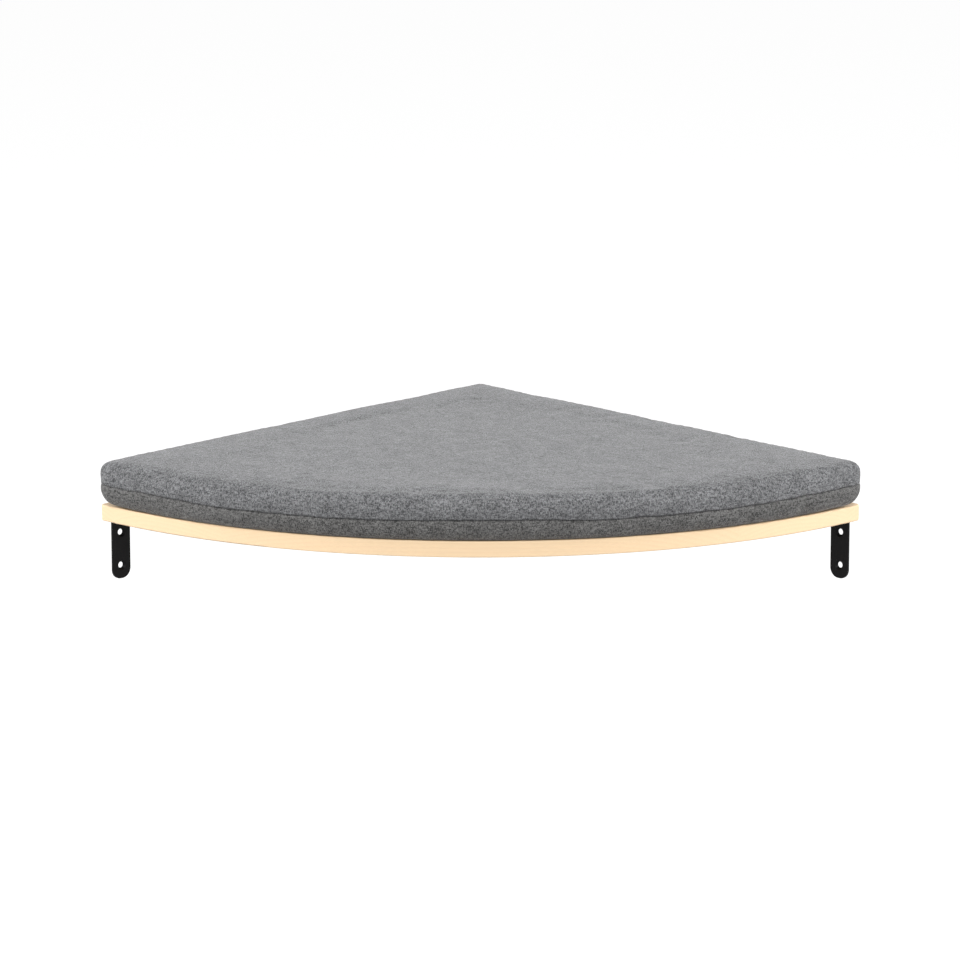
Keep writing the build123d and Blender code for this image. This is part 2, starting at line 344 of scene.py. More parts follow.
class Fleck(Effect):
    """Tangled pile: small curling flecks, with a finer fuzz on them."""

    name = "fleck"
    inputs = {"Place": None, "Per Metre": 900.0}
    outputs = ("Fleck", "Height")

    def fill(self, graph: Graph, given: dict[str, Socket]) -> dict[str, Socket]:
        """Builds the flecks from warped noise, and the height from them and the fuzz.

        Args:
            graph: the group's graph.
            given: the place and the number of flecks per metre.

        Returns:
            The flecks and the height.
        """
        place, scale = given["Place"], given["Per Metre"]
        curl = graph.scaled(graph.drift(place, scale), graph.math("DIVIDE", 1.6, scale))
        fleck = graph.remap(graph.noise(graph.vector_math("ADD", place, curl), scale, 2.5, 0.6), 0.36, 0.64)
        fuzz = graph.noise(place, 3200.0)
        return {"Fleck": fleck, "Height": graph.line(fuzz, 0.45, graph.times(fleck, 0.75))}


class Weave(Effect):
    """Plain weave of a tape: two crossed sets of threads, as a height and a thread mask."""

    name = "weave"
    inputs = {"Place": None, "Threads Per Metre": 1600.0}
    outputs = ("Thread", "Height")

    def fill(self, graph: Graph, given: dict[str, Socket]) -> dict[str, Socket]:
        """Builds the threads from two sine waves that take turns on top.

        Args:
            graph: the group's graph.
            given: the place and the number of threads per metre.

        Returns:
            The thread mask and the height.
        """
        x, y, z = graph.split(graph.scaled(given["Place"], given["Threads Per Metre"]))
        turns = graph.times(graph.wave(y), graph.wave(graph.math("ADD", z, x)))
        fuzz = graph.noise(given["Place"], 2500.0, 3.0)
        height = graph.line(fuzz, 0.4, graph.times(graph.math("ABSOLUTE", turns), 0.8))
        return {"Thread": graph.remap(turns, -0.5, 0.5), "Height": height}


class Scuff(Effect):
    """Handling marks on a hard finish: fine scratches and dull patches, as masks from 0 to 1."""

    name = "scuff"
    inputs = {"Place": None, "Amount": 0.5}
    outputs = ("Scratch", "Dull")

    def fill(self, graph: Graph, given: dict[str, Socket]) -> dict[str, Socket]:
        """Builds the scratches from a stretched noise and the dull patches from a slow one.

        Args:
            graph: the group's graph.
            given: the place and the amount.

        Returns:
            The scratches, which lie in the dull patches, and those patches.
        """
        stretched = graph.vector_math("MULTIPLY", given["Place"], (260.0, 2600.0, 900.0))
        lines = graph.remap(graph.noise(stretched, 1.0), 0.66, 0.74)
        patches = graph.remap(graph.noise(given["Place"], 90.0, 4.0), 0.45, 0.7)
        dull = graph.times(patches, given["Amount"])
        return {"Scratch": graph.times(lines, dull), "Dull": dull}


# Finishes


@dataclass(frozen=True)
class Finish:
    """A surface finish: the material's name and the record's slot that it belongs to."""

    name: str
    slot: str

    def shade(self, graph: Graph) -> dict[str, object]:
        """Builds the material's nodes, as every finish does in its own way.

        Args:
            graph: the material's graph.

        Returns:
            What the shader's sockets are set to or fed by.
        """
        raise NotImplementedError

    def material(self) -> bpy.types.Material:
        """Builds the finish's material the first time.

        Returns:
            The material.
        """
        made = bpy.data.materials.get(self.name)
        if made:
            return made
        made = bpy.data.materials.new(self.name)
        made.use_nodes = True
        graph = Graph(made.node_tree)
        shader = graph.add("BsdfPrincipled", self.shade(graph))
        graph.add("OutputMaterial", {"Surface": shader.outputs[0]})
        return made


@dataclass(frozen=True)
class Textile(Finish):
    """A surface of dark and light threads, which catches light at a low angle."""

    dark: tuple = (0.012, 0.012, 0.013)
    light: tuple = (0.05, 0.05, 0.052)
    roughness: float = 0.9
    depth: float = 0.3 * MM
    sheen: Sheen = Sheen.BRUSHED

    def threads(self, graph: Graph, tone: Socket, height: Socket) -> dict[str, object]:
        """Mixes the two tones of thread and raises them.

        Args:
            graph: the material's graph.
            tone: 0 where a thread is dark, 1 where it is light.
            height: the threads' height from 0 to 1.

        Returns:
            What the shader's sockets are set to or fed by.
        """
        colour = graph.mix(tone, self.dark, self.light)
        normal = graph.bump(height, self.depth)
        return {"Base Color": colour, "Roughness": self.roughness, "Normal": normal, **self.sheen.sockets()}


@dataclass(frozen=True)
class HeatherCloth(Textile):
    """Heathered grey cloth, woven from uneven yarns and lightly brushed. It reads the cover's cloth map."""

    dark: tuple = (0.070, 0.071, 0.0735)
    light: tuple = (0.272, 0.275, 0.283)
    roughness: float = 0.95
    sheen: Sheen = Sheen.SHORT_PILE
    sheen_tint: tuple = (0.88, 0.88, 0.885, 1.0)
    mottle: tuple = (0.88, 1.08)
    yarns_per_metre: float = 1000.0

    def shade(self, graph: Graph) -> dict[str, object]:
        """Weaves dark and light yarns and shades them by the mottle.

        Args:
            graph: the material's graph.

        Returns:
            What the shader's sockets are set to or fed by.
        """
        place = graph.add("UVMap", uv_map=CLOTH_MAP).outputs[0]
        cloth = Linen().use(graph, Place=place, **{"Yarns Per Metre": self.yarns_per_metre})
        sockets = self.threads(graph, cloth["Tone"], cloth["Height"])
        level = graph.remap(cloth["Mottle"], 0.0, 1.0, *self.mottle)
        sockets["Base Color"] = graph.shaded(sockets["Base Color"], level)
        return {**sockets, "Specular IOR Level": 0.1, "Sheen Tint": self.sheen_tint}


@dataclass(frozen=True)
class LoopPile(Textile):
    """Black pile of fine tangled loops."""

    def shade(self, graph: Graph) -> dict[str, object]:
        """Mixes dark and light loops and raises them."""
        loops = Fleck().use(graph, Place=graph.place())
        return self.threads(graph, loops["Fleck"], loops["Height"])


@dataclass(frozen=True)
class WovenTape(Textile):
    """Woven synthetic tape."""

    dark: tuple = (0.02, 0.02, 0.021)
    roughness: float = 0.75
    depth: float = 0.12 * MM
    sheen: Sheen = Sheen.WOVEN
    threads_per_metre: float = 1700.0

    def shade(self, graph: Graph) -> dict[str, object]:
        """Weaves two tones of thread."""
        tape = Weave().use(graph, Place=graph.place(), **{"Threads Per Metre": self.threads_per_metre})
        return self.threads(graph, tape["Thread"], tape["Height"])


@dataclass(frozen=True)
class Tinted(Finish):
    """A surface of one colour that fine marks darken and raise, darkest where it lies lowest: partly random
    tone, partly painted shade in the small hollows.
    """

    colour: tuple = (0.5, 0.5, 0.5)
    darkest: float = 0.72
    grain: float = 900.0
    roughness: float = 0.95
    depth: float = 0.5 * MM
    strength: float = 1.0

    def marked(self, graph: Graph, marks: Socket, height: Socket) -> dict[str, object]:
        """Darkens the colour where the marks are low and raises a height, which mostly follows the marks, so
        the darkening is partly painted shade in the hollows.

        Args:
            graph: the material's graph.
            marks: 0 where the colour is darkest, 1 where it is as given.
            height: the surface's height from 0 to 1.

        Returns:
            What the shader's sockets are set to or fed by.
        """
        normal = graph.bump(height, self.depth, self.strength)
        # Partly painted shade: the colour is darkest where the surface lies lowest.
        colour = graph.tint(marks, self.colour, self.darkest)
        return {"Base Color": colour, "Roughness": self.roughness, "Normal": normal}


@dataclass(frozen=True)
class SewingThread(Tinted):
    """Twisted sewing thread."""

    darkest: float = 0.6
    grain: float = 2600.0
    roughness: float = 0.6
    depth: float = 0.05 * MM

    def shade(self, graph: Graph) -> dict[str, object]:
        """Tints the thread by a fine twist, darkest where the twist lies lowest: partly the thread's tone,
        partly painted shade.
        """
        twist = graph.speckle(graph.place((3.0, 1.0, 1.0)), self.grain)
        return {**self.marked(graph, twist, twist), "Sheen Weight": 0.3}


@dataclass(frozen=True)
class OpenFoam(Tinted):
    """Pale open-cell foam."""

    colour: tuple = (0.80, 0.76, 0.62)
    coarse: float = 380.0

    def shade(self, graph: Graph) -> dict[str, object]:
        """Pits the surface with cells of two sizes and darkens the pits, which is painted shade.

        Args:
            graph: the material's graph.

        Returns:
            What the shader's sockets are set to or fed by.
        """
        place = graph.place()
        fine, coarse = graph.cells(place, self.grain), graph.cells(place, self.coarse)
        pits = graph.times(graph.remap(fine, 0.1, 0.6), graph.remap(coarse, 0.1, 0.5))
        # The pits mask also darkens the colour: painted shade in the cells.
        return self.marked(graph, pits, pits)


@dataclass(frozen=True)
class PlatedMetal(Tinted):
    """Plated steel or cast metal."""

    colour: tuple = (0.60, 0.60, 0.61)
    roughness: float = 0.3
    depth: float = 0.02 * MM
    strength: float = 0.5

    def shade(self, graph: Graph) -> dict[str, object]:
        """Brushes and scuffs the plating.

        Args:
            graph: the material's graph.

        Returns:
            What the shader's sockets are set to or fed by.
        """
        place = graph.place()
        scuffs = Scuff().use(graph, Place=place, Amount=0.8)
        tone = graph.speckle(place, self.grain, 3.0)
        # The tone also sets the height, so its darker spots lie low: partly random tone, partly painted
        # shade.
        sockets = self.marked(graph, tone, graph.math("ADD", tone, scuffs["Scratch"]))
        return {**sockets, "Roughness": graph.line(scuffs["Dull"], 0.2, self.roughness), "Metallic": 1.0}


@dataclass(frozen=True)
class MouldedPlastic(Tinted):
    """Moulded plastic with a fine spark texture."""

    colour: tuple = (0.05, 0.05, 0.052)
    darkest: float = 0.75
    grain: float = 2400.0
    roughness: float = 0.45
    depth: float = 0.03 * MM
    strength: float = 0.6

    def shade(self, graph: Graph) -> dict[str, object]:
        """Varies the tone a little and pits the surface with the same grain, so the pits are darker: partly
        random tone, partly painted shade.
        """
        grain = graph.speckle(graph.place(), self.grain)
        return {**self.marked(graph, grain, grain), "Roughness": graph.line(grain, 0.12, self.roughness)}


@dataclass(frozen=True)
class PowderCoat(Finish):
    """Black powder coat with its fine orange peel."""

    colour: tuple = (0.0048, 0.0047, 0.005)
    worn: tuple = (0.03, 0.03, 0.031)
    peel: float = 1800.0
    depth: float = 0.12 * MM

    def shade(self, graph: Graph) -> dict[str, object]:
        """Raises the peel and scuffs it a little.

        Args:
            graph: the material's graph.

        Returns:
            What the shader's sockets are set to or fed by.
        """
        place = graph.place()
        scuffs = Scuff().use(graph, Place=place, Amount=0.5)
        return {
            "Base Color": graph.mix(scuffs["Scratch"], self.colour, self.worn),
            "Roughness": graph.line(scuffs["Dull"], 0.16, 0.42),
            "Specular IOR Level": 0.08,
            "Normal": graph.bump(graph.noise(place, self.peel, 1.0), self.depth, 0.5),
        }


@dataclass(frozen=True)
class PineBoard(Finish):
    """Pale pine, edge-glued from strips whose grain runs across the front, under a clear satin lacquer."""

    early: tuple = (0.95, 0.712, 0.458)
    late: tuple = (0.91, 0.64, 0.388)
    resin: tuple = (0.45, 0.27, 0.13)
    strip: float = 58 * MM
    ring_pitch: float = 3.1 * MM
    least_depth: float = 25 * MM
    more_depth: float = 70 * MM
    bend: float = 34 * MM
    fibre_stretch: tuple = (1500.0, 26.0, 1500.0)
    resin_stretch: tuple = (70.0, 22.0, 70.0)
    depth: float = 0.05 * MM

    def growth(self, graph: Graph, place: Socket) -> tuple[Socket, Socket]:
        """Draws growth rings round an axis below each strip.

        Args:
            graph: the material's graph.
            place: places across the strips, along them and up.

        Returns:
            The rings, 1 in the late wood, and a random value for each strip.
        """
        across, along, up = graph.split(place)
        index = graph.math("FLOOR", graph.math("DIVIDE", across, self.strip))
        chance = graph.add("TexWhiteNoise", {"W": index}, noise_dimensions="1D")
        shift, deeper, pick = graph.add("SeparateColor", {0: chance.outputs["Color"]}).outputs
        middle = graph.times(graph.math("ADD", index, shift), self.strip)
        axis = graph.line(deeper, -self.more_depth, -self.least_depth)
        slow_up = graph.line(up, 14.0, graph.times(index, 7.3))
        slow = graph.vector(graph.times(across, 14.0), graph.times(along, 2.6), slow_up)
        bend = graph.times(graph.math("SUBTRACT", graph.noise(slow, 1.0), 0.5), self.bend)
        side = graph.math("ADD", graph.math("SUBTRACT", across, middle), bend)
        rise = graph.math("SUBTRACT", up, axis)
        radius = graph.math("SQRT", graph.line(side, side, graph.times(rise, rise)))
        turns = graph.math("FRACT", graph.math("DIVIDE", radius, self.ring_pitch))
        return graph.times(graph.remap(turns, 0.25, 0.9), graph.remap(turns, 1.0, 0.92)), pick

    def shade(self, graph: Graph) -> dict[str, object]:
        """Draws the growth rings, the fibres along each strip, and small resin specks.

        Args:
            graph: the material's graph.

        Returns:
            What the shader's sockets are set to or fed by.
        """
        place = graph.place(turn=math.radians(-45.0))
        ring, pick = self.growth(graph, place)
        fibre = graph.speckle(graph.vector_math("MULTIPLY", place, self.fibre_stretch), 1.0, 3.0, 0.6)
        wood = graph.mix(graph.times(ring, 0.32), self.early, self.late)
        level = graph.times(graph.line(pick, 0.04, 0.975), graph.line(fibre, 0.05, 0.965))
        distance = graph.cells(graph.vector_math("MULTIPLY", place, self.resin_stretch), 1.0)
        speck = graph.times(graph.remap(distance, 0.06, 0.02), 0.55)
        return {
            "Base Color": graph.mix(speck, graph.shaded(wood, level), self.resin),
            "Roughness": graph.line(fibre, 0.1, 0.46),
            "Specular IOR Level": 0.35,
            "Coat Weight": 0.12,
            "Coat Roughness": 0.35,
            "Normal": graph.bump(graph.line(ring, 0.3, fibre), self.depth, 0.6),
        }


COVER_TOP = HeatherCloth("cover_top_cloth", "cushion_fabric")
# The lower panel's cloth is a darker copy of the top cloth: its darker yarns are painted shade for the lower
# half of the side, which is darker than the lit upper half.
COVER_BOTTOM_SHADED = HeatherCloth(
    "cover_bottom_shaded_cloth", "cushion_fabric", dark=(0.053, 0.0524, 0.0515), light=(0.222, 0.219, 0.215)
)
FOAM = OpenFoam("cushion_foam", "foam")
BOARD_PINE = PineBoard("board_pine", "board_wood")
BRACKET_BLACK = PowderCoat("bracket_powder_coat", "bracket_paint")
SCREW_ZINC = PlatedMetal("screw_zinc", "screw_steel", roughness=0.28)
FASTENER_TAPE = WovenTape("fastener_tape", "fastener_black")
HOOK_NYLON = MouldedPlastic("hook_nylon", "fastener_black", colour=(0.035, 0.035, 0.037), roughness=0.35)
LOOP_PILE = LoopPile("loop_pile", "fastener_black")
ZIP_CLOTH = WovenTape("zip_cloth", "zip_tape", dark=(0.07, 0.07, 0.073), light=(0.15, 0.15, 0.155))
ZIP_PLASTIC = MouldedPlastic("zip_plastic", "zip_teeth", colour=(0.10, 0.10, 0.105))
ZIP_CAST = PlatedMetal("zip_cast_metal", "zip_metal", colour=(0.24, 0.24, 0.245), roughness=0.4)
COVER_THREAD = SewingThread("cover_thread", "cushion_fabric", colour=(0.16, 0.16, 0.165))
PATCH_THREAD = SewingThread("patch_thread", "fastener_black", colour=(0.04, 0.04, 0.042))


# Meshes


def make_piece(
    name: str, points: np.ndarray, faces: list, finish: Finish, body: str, smooth: bool = True
) -> bpy.types.Object:
    """Makes a mesh piece, finishes it and lets it ride.

    Args:
        name: the piece's name.
        points: its vertices, in metres in the frame.
        faces: its faces, as tuples of vertex numbers.
        finish: its finish.
        body: the body that it rides on.
        smooth: whether its faces are shaded smooth.

    Returns:
        The piece.
    """
    mesh = bpy.data.meshes.new(name)
    mesh.from_pydata([tuple(point) for point in points], [], faces)
    shape = bmesh.new()
    shape.from_mesh(mesh)
    bmesh.ops.recalc_face_normals(shape, faces=shape.faces)
    shape.to_mesh(mesh)
    shape.free()
    mesh.polygons.foreach_set("use_smooth", [smooth] * len(mesh.polygons))
    mesh.materials.append(finish.material())
    piece = bpy.data.objects.new(name, mesh)
    bpy.context.scene.collection.objects.link(piece)
    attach(piece, body)
    LOG.info("%s: %d faces on %s", name, len(mesh.polygons), body)
    return piece


def stitch_rings(rings: list[np.ndarray]) -> tuple[np.ndarray, list]:
    """Joins closed rings of points into one closed skin.

    A ring has as many points as the one before it, half or twice as many, or a single one at a pole.

    Args:
        rings: the rings in order, each an array of n by 3.

    Returns:
        The points and the faces.
    """
    starts = np.cumsum([0] + [len(ring) for ring in rings])
    faces = []
    for number in range(len(rings) - 1):
        first, second = starts[number], starts[number + 1]
        n, m = len(rings[number]), len(rings[number + 1])
        if m == n:
            faces += band_faces(first, second, n)
        elif m == 1:
            faces += [(first + k, first + (k + 1) % n, second) for k in range(n)]
        elif n == 1:
            faces += [(first, second + (k + 1) % m, second + k) for k in range(m)]
        else:
            faces += halving_faces(first, second, n, m)
    return np.concatenate(rings), faces


def band_faces(first: int, second: int, count: int) -> list:
    """Faces between two rings of as many points, given the number of each ring's first point."""
    turns = [(k, (k + 1) % count) for k in range(count)]
    return [(first + k, first + after, second + after, second + k) for k, after in turns]


def halving_faces(first: int, second: int, n: int, m: int) -> list:
    """Faces between two rings, one of which has twice as many points as the other.

    Args:
        first: the first ring's first point.
        second: the second ring's first point.
        n: how many points the first ring has.
        m: how many points the second ring has.

    Returns:
        The faces.
    """
    fine, coarse, count = (first, second, n) if n > m else (second, first, m)
    faces = []
    for k in range(min(n, m)):
        left, middle, right = fine + 2 * k, fine + 2 * k + 1, fine + (2 * k + 2) % count
        here, there = coarse + k, coarse + (k + 1) % min(n, m)
        corners = [(left, middle, here), (middle, right, there), (middle, there, here)]
        faces += corners if n > m else [face[::-1] for face in corners]
    return faces


def tube_faces(start: int, rings: int, sides: int) -> list:
    """Faces of a closed tube.

    Args:
        start: its first point.
        rings: how many rings of points it has, one after the other.
        sides: how many points each ring has.

    Returns:
        The faces, the two ends last.
    """
    faces = []
    for low in range(start, start + (rings - 1) * sides, sides):
        faces += band_faces(low, low + sides, sides)
    faces.append(tuple(start + k for k in reversed(range(sides))))
    faces.append(tuple(start + (rings - 1) * sides + k for k in range(sides)))
    return faces


def thread_stitches(
    route: np.ndarray, out: np.ndarray, pitch: float, share: float, radius: float
) -> tuple[np.ndarray, list]:
    """Short rounded stitches along a route, which dip into the cloth at both ends.

    Args:
        route: points along the route, as n by 3.
        out: the cloth's outward direction at each point.
        pitch: the distance from stitch to stitch.
        share: the share of the pitch that shows as thread.
        radius: the thread's radius.

    Returns:
        The points and the faces.
    """
    steps = np.r_[0.0, np.cumsum(np.linalg.norm(np.diff(route, axis=0), axis=1))]
    sides, bows = 6, (-0.9, 0.35, 0.6, 0.35, -0.9)
    points, faces = [], []
    for number in range(int(steps[-1] / pitch)):
        spots = pitch * (number + 0.5 + share * (np.linspace(0, 1, len(bows)) - 0.5))
        middle = np.stack([np.interp(spots, steps, route[:, axis]) for axis in range(3)], 1)
        up = np.stack([np.interp(spots, steps, out[:, axis]) for axis in range(3)], 1)
        along = np.gradient(middle, axis=0)
        side = np.cross(along, up)
        side /= np.linalg.norm(side, axis=1)[:, None]
        middle = middle + up * (np.array(bows) * radius)[:, None]
        faces += tube_faces(len(points), len(bows), sides)
        for ring in range(len(bows)):
            for turn in np.linspace(0, 2 * math.pi, sides, endpoint=False):
                swing = math.cos(turn) * side[ring] + math.sin(turn) * up[ring]
                points.append(middle[ring] + radius * swing)
    return np.array(points), faces


def eased(value: np.ndarray, low: float, high: float) -> np.ndarray:
    """Eases from 0 where a value is low to 1 where it is high, and is flat beyond both."""
    share = np.clip((value - low) / (high - low), 0.0, 1.0)
    return share * share * (3.0 - 2.0 * share)


def between(first: object, second: object, share: np.ndarray) -> np.ndarray:
    """Goes from a first value to a second one as a share goes from 0 to 1."""
    return first + (second - first) * share


def turned(places: np.ndarray, angle: float) -> np.ndarray:
    """Turns flat places about the origin by an angle in radians."""
    cosine, sine = math.cos(angle), math.sin(angle)
    return places @ np.array([[cosine, sine], [-sine, cosine]])


def bearings(places: np.ndarray) -> np.ndarray:
    """How many degrees each place lies from the diagonal of the corner, either way."""
    return np.abs(np.degrees(np.arctan2(places[:, 1], places[:, 0])) - 45)


def wander(points: np.ndarray, size: float, seed: float = 0.0) -> np.ndarray:
    """Smooth noise from -1 to 1 at each point, whose features are about one size across."""
    return np.array([noise.noise(Vector(point) / size + Vector((seed, -seed, 2 * seed))) for point in points])


@dataclass(frozen=True)
class Ripple:
    """Smooth unevenness of a cloth: its depth, the size of its features, its seed, and how heights count."""

    depth: float
    size: float
    seed: float
    upright: float = 1.0

    def at(self, points: np.ndarray) -> np.ndarray:
        """How far the cloth lies off its plain form at each point."""
        return self.depth * wander(points * (1, 1, self.upright), self.size, self.seed)


# Sub-assemblies


@dataclass
class Cushion:
    """The cushion: two cover panels sewn at a seam, with a zip channel on the wall side, and a foam core."""

    front_radius: float = 402.5 * MM
    wall_gap: float = 1.0 * MM
    front_turn: float = 7.0 * MM
    apex_turn: float = 2.0 * MM
    deepest_inset: float = 8.0 * MM
    base: float = 12.0 * MM
    seam: float = 29.0 * MM
    seam_droop: float = 1.9 * MM
    wall_top: float = 44.6 * MM
    wall_bow: float = 0.5 * MM
    front_lift: float = 0.9 * MM
    front_puff: float = 2.1 * MM
    puff_reach: float = 33.0
    crown_top: float = 47.6 * MM
    fold: float = 7.0 * MM
    front_fold: float = 9.0 * MM
    end_fold: float = 14.0 * MM
    lean: float = math.radians(3.0)
    front_lean: float = math.radians(23.0)
    end_lean: float = math.radians(40.0)
    under: float = math.radians(9.0)
    crest: float = 0.32 * MM
    bottom_fold: float = 4.5 * MM
    front_bottom_fold: float = 11.0 * MM
    corner_bottom_fold: float = 11.0 * MM
    bottom_lean: float = math.radians(22.0)
    front_bottom_lean: float = math.radians(40.0)
    corner_bottom_lean: float = math.radians(43.0)
    front_bottom_foot: float = math.radians(8.0)
    corner_curl: float = 1.6 * MM
    lean_shares: tuple = (0.12, 0.3, 0.5, 0.7, 0.86, 1.0)
    fold_shares: tuple = (0.15, 0.35, 0.55, 0.67, 0.79, 1.0)
    crest_share: float = 0.67
    top_lip: tuple = (3.0, 2.3, 1.6, 0.85, 0.44, 0.16, 0.21, 0.20)
    bottom_lip: tuple = (3.0, 1.9, 1.1, 0.40, 0.0, -0.15, -0.10, 0.0)
    lip_rises: tuple = (0.02, 0.06, 0.26, 0.62, 1.05, 1.6, 2.6, 4.2)
    crown_ease: float = 1.4
    edge_blur: float = 0.5 * MM
    skin: float = 1.2 * MM
    foam_gap: float = 0.3 * MM
    channel_depth: float = 4.6 * MM
    channel_half: float = 6.5 * MM
    channel_start: float = 37.8 * MM
    channel_end: float = 352.2 * MM
    zipped_from: tuple = (0.21875, 0.84375)
    slot_half: float = 3.4 * MM
    slot_start: float = 55.0 * MM
    slot_end: float = 335.0 * MM
    patch_top: float = 14.0 * MM
    apex_points: int = 16
    side_points: int = 156
    corner_points: int = 16
    front_points: int = 248
    coarse_points: int = 152
    settle_frames: int = 20
    pressure: float = 1.2
    slack: float = 0.004
    most_settled: float = 1.4 * MM
    long_slack: Ripple = Ripple(0.30 * MM, 48 * MM, 1.3)
    short_slack: Ripple = Ripple(0.14 * MM, 17 * MM, 5.9)
    puckers: Ripple = Ripple(0.24 * MM, 7 * MM, 7.7, 0.4)
    creases: Ripple = Ripple(0.28 * MM, 20 * MM, 2.2, 0.15)
    pucker_reach: float = 3.6 * MM
    wall_freedom: float = 0.15
    dent_slope: tuple = (9.5 * MM, 2.5 * MM)
    dent_extra: float = 0.15 * MM
    foam_groove: tuple = ((-7.5, 0.0), (-6.5, 1.0), (0.0, 1.0), (6.5, 1.0), (7.5, 0.0))
    foam_notch: float = 1.8 * MM

    def __post_init__(self) -> None:
        """Lays out the outline, its outward directions and how the form changes along it."""
        self.outline, self.out = self.lay_outline()
        steps = np.linalg.norm(np.diff(self.outline, axis=0, append=self.outline[:1]), axis=1)
        self.length = np.r_[0.0, np.cumsum(steps)[:-1]]
        self.girth = float(steps.sum())
        centre = self.wall_gap + (self.front_radius - self.wall_gap * math.sqrt(2)) / (1 + math.sqrt(2))
        self.centre = np.array([centre, centre])
        self.shape_front()
        self.shape_channel()
        flat = np.c_[self.outline, np.zeros(len(self.outline))]
        closed = eased(self.opening, 2 * MM, 0)
        uneven = 0.35 * wander(flat, 40 * MM, 3.1) + 0.40 * wander(flat, 13 * MM, 8.3)
        self.seam_wave = uneven * MM * closed - self.droop(flat)
        self.seam_gape = np.clip(1.0 + 1.3 * wander(flat, 9 * MM, 6.6), 0.35, 1.8)
        self.settled = self.settle()

    def lay_outline(self) -> tuple[np.ndarray, np.ndarray]:
        """Lays out the cushion's widest outline.

        Returns:
            Its points, and the outward direction at each.
        """
        gap, turn = self.wall_gap, self.front_turn + self.deepest_inset
        apex = self.apex_turn + self.deepest_inset
        across = gap + turn
        along = math.sqrt((self.front_radius - turn) ** 2 - across**2)
        tilt = math.atan2(across, along)
        quarter = math.pi / 2
        arcs = [
            ((gap + apex, gap + apex), apex, -2 * quarter, -quarter, self.apex_points),
            ((gap + apex, gap), (along, gap), -quarter, -quarter, self.side_points),
            ((along, across), turn, -quarter, tilt, self.corner_points),
            ((0.0, 0.0), self.front_radius, tilt, quarter - tilt, self.front_points),
            ((across, along), turn, quarter - tilt, 2 * quarter, self.corner_points),
            ((gap, along), (gap, gap + apex), 2 * quarter, 2 * quarter, self.side_points),
        ]
        places, outs = [], []
        for centre, reach, start, end, count in arcs:
            share = np.arange(count) / count
            angles = start + (end - start) * share
            out = np.stack([np.cos(angles), np.sin(angles)], 1)
            if isinstance(reach, tuple):
                places.append(np.outer(1 - share, centre) + np.outer(share, reach))
            else:
                places.append(np.array(centre) + reach * out)
            outs.append(out)
        return np.concatenate(places), np.concatenate(outs)

    def shape_front(self) -> None:
        """Sets how the rim, the fold and the lean of both panels change along the outline.

        Bearings are degrees either way from the middle of the front, and reaches are shares of its radius.
        """
        distance = np.linalg.norm(self.outline, axis=1)
        reach = distance / self.front_radius
        facing = np.einsum("ij,ij->i", self.outline, self.out) / distance
        bearing = bearings(self.outline)
        on_front = eased(facing, 0.6, 1.0)
        puff = np.cos(np.clip(bearing / self.puff_reach, 0, 1) * math.pi / 2) ** 2 * on_front
        on_wall = (1 - on_front) * np.sin(math.pi * np.clip(reach, 0, 1)) ** 2
        self.rim = self.wall_top + self.front_lift * on_front + self.front_puff * puff
        self.rim += self.wall_bow * on_wall
        towards_end = eased(bearing, 19, 37)
        leaning = eased(bearing, 44, 37) * on_front
        self.rim_fold = between(self.fold, between(self.front_fold, self.end_fold, towards_end), on_front)
        self.rim_lean = between(self.lean, between(self.front_lean, self.end_lean, towards_end), leaning)
        self.rim_crest = self.crest * towards_end * leaning
        from_diagonal = np.degrees(np.arccos(np.clip(self.out @ (math.sqrt(0.5), math.sqrt(0.5)), -1, 1)))
        near_corner = np.exp(-(((from_diagonal - 90) / 25) ** 2)) * eased(reach, 0.86, 0.96)
        self.seam_depth = 1 - 0.75 * near_corner
        free = np.maximum(eased(facing, 0, 0.6), eased(reach, 0.84, 0.96))
        to_corner = np.clip((bearing - 29) / 16, 0, 1) ** 3 * free
        self.curl = self.corner_curl * to_corner
        self.under_foot = self.front_bottom_foot * free
        self.under_fold = between(self.bottom_fold, self.front_bottom_fold, free)
        self.under_fold += (self.corner_bottom_fold - self.front_bottom_fold) * to_corner
        self.under_lean = between(self.bottom_lean, self.front_bottom_lean, free)
        self.under_lean += (self.corner_bottom_lean - self.front_bottom_lean) * to_corner

    def shape_channel(self) -> None:
        """Sets how far the zip's channel and the slot in its floor are open along the outline."""
        on_zip_side = self.out[:, 0] < -0.999
        spot = self.outline[:, 1]
        reach = np.minimum(spot - self.channel_start, self.channel_end - spot)
        reach = np.clip(np.where(on_zip_side, reach, 0.0), 0.0, self.channel_half)
        self.opening = np.sqrt(self.channel_half**2 - (self.channel_half - reach) ** 2)
        slot = np.clip(np.minimum(spot - self.slot_start, self.slot_end - spot), 0.0, self.slot_half)
        self.slot = np.sqrt(self.slot_half**2 - (self.slot_half - slot) ** 2)

    def droop(self, places: np.ndarray) -> np.ndarray:
        """How far the seam hangs below its level, which is most on the two flanks of the front.

        Args:
            places: places near the outline.

        Returns:
            The droop beside each place.
        """
        bearing = bearings(places)
        flank = between(0.2, 1.0, eased(bearing, 4, 12)) * eased(bearing, 38, 27)
        reach = np.linalg.norm(places[:, :2], axis=1) / self.front_radius
        return self.seam_droop * flank * eased(reach, 0.9, 0.95)

    def from_seam(self, points: np.ndarray) -> np.ndarray:
        """How far above or below the seam each point lies."""
        return np.abs(points[:, 2] - self.seam + self.droop(points))

    def ring(self, inset: np.ndarray | float, height: np.ndarray | float) -> np.ndarray:
        """Points of the outline moved in by an inset, at a height."""
        flat = self.outline - self.out * np.broadcast_to(inset, len(self.outline))[:, None]
        return np.c_[flat, np.broadcast_to(height, len(self.outline))]

    def inset(self, ring: np.ndarray) -> np.ndarray:
        """How far in from the outline each point of a ring lies."""
        return np.einsum("ij,ij->i", self.outline - ring[:, :2], self.out)

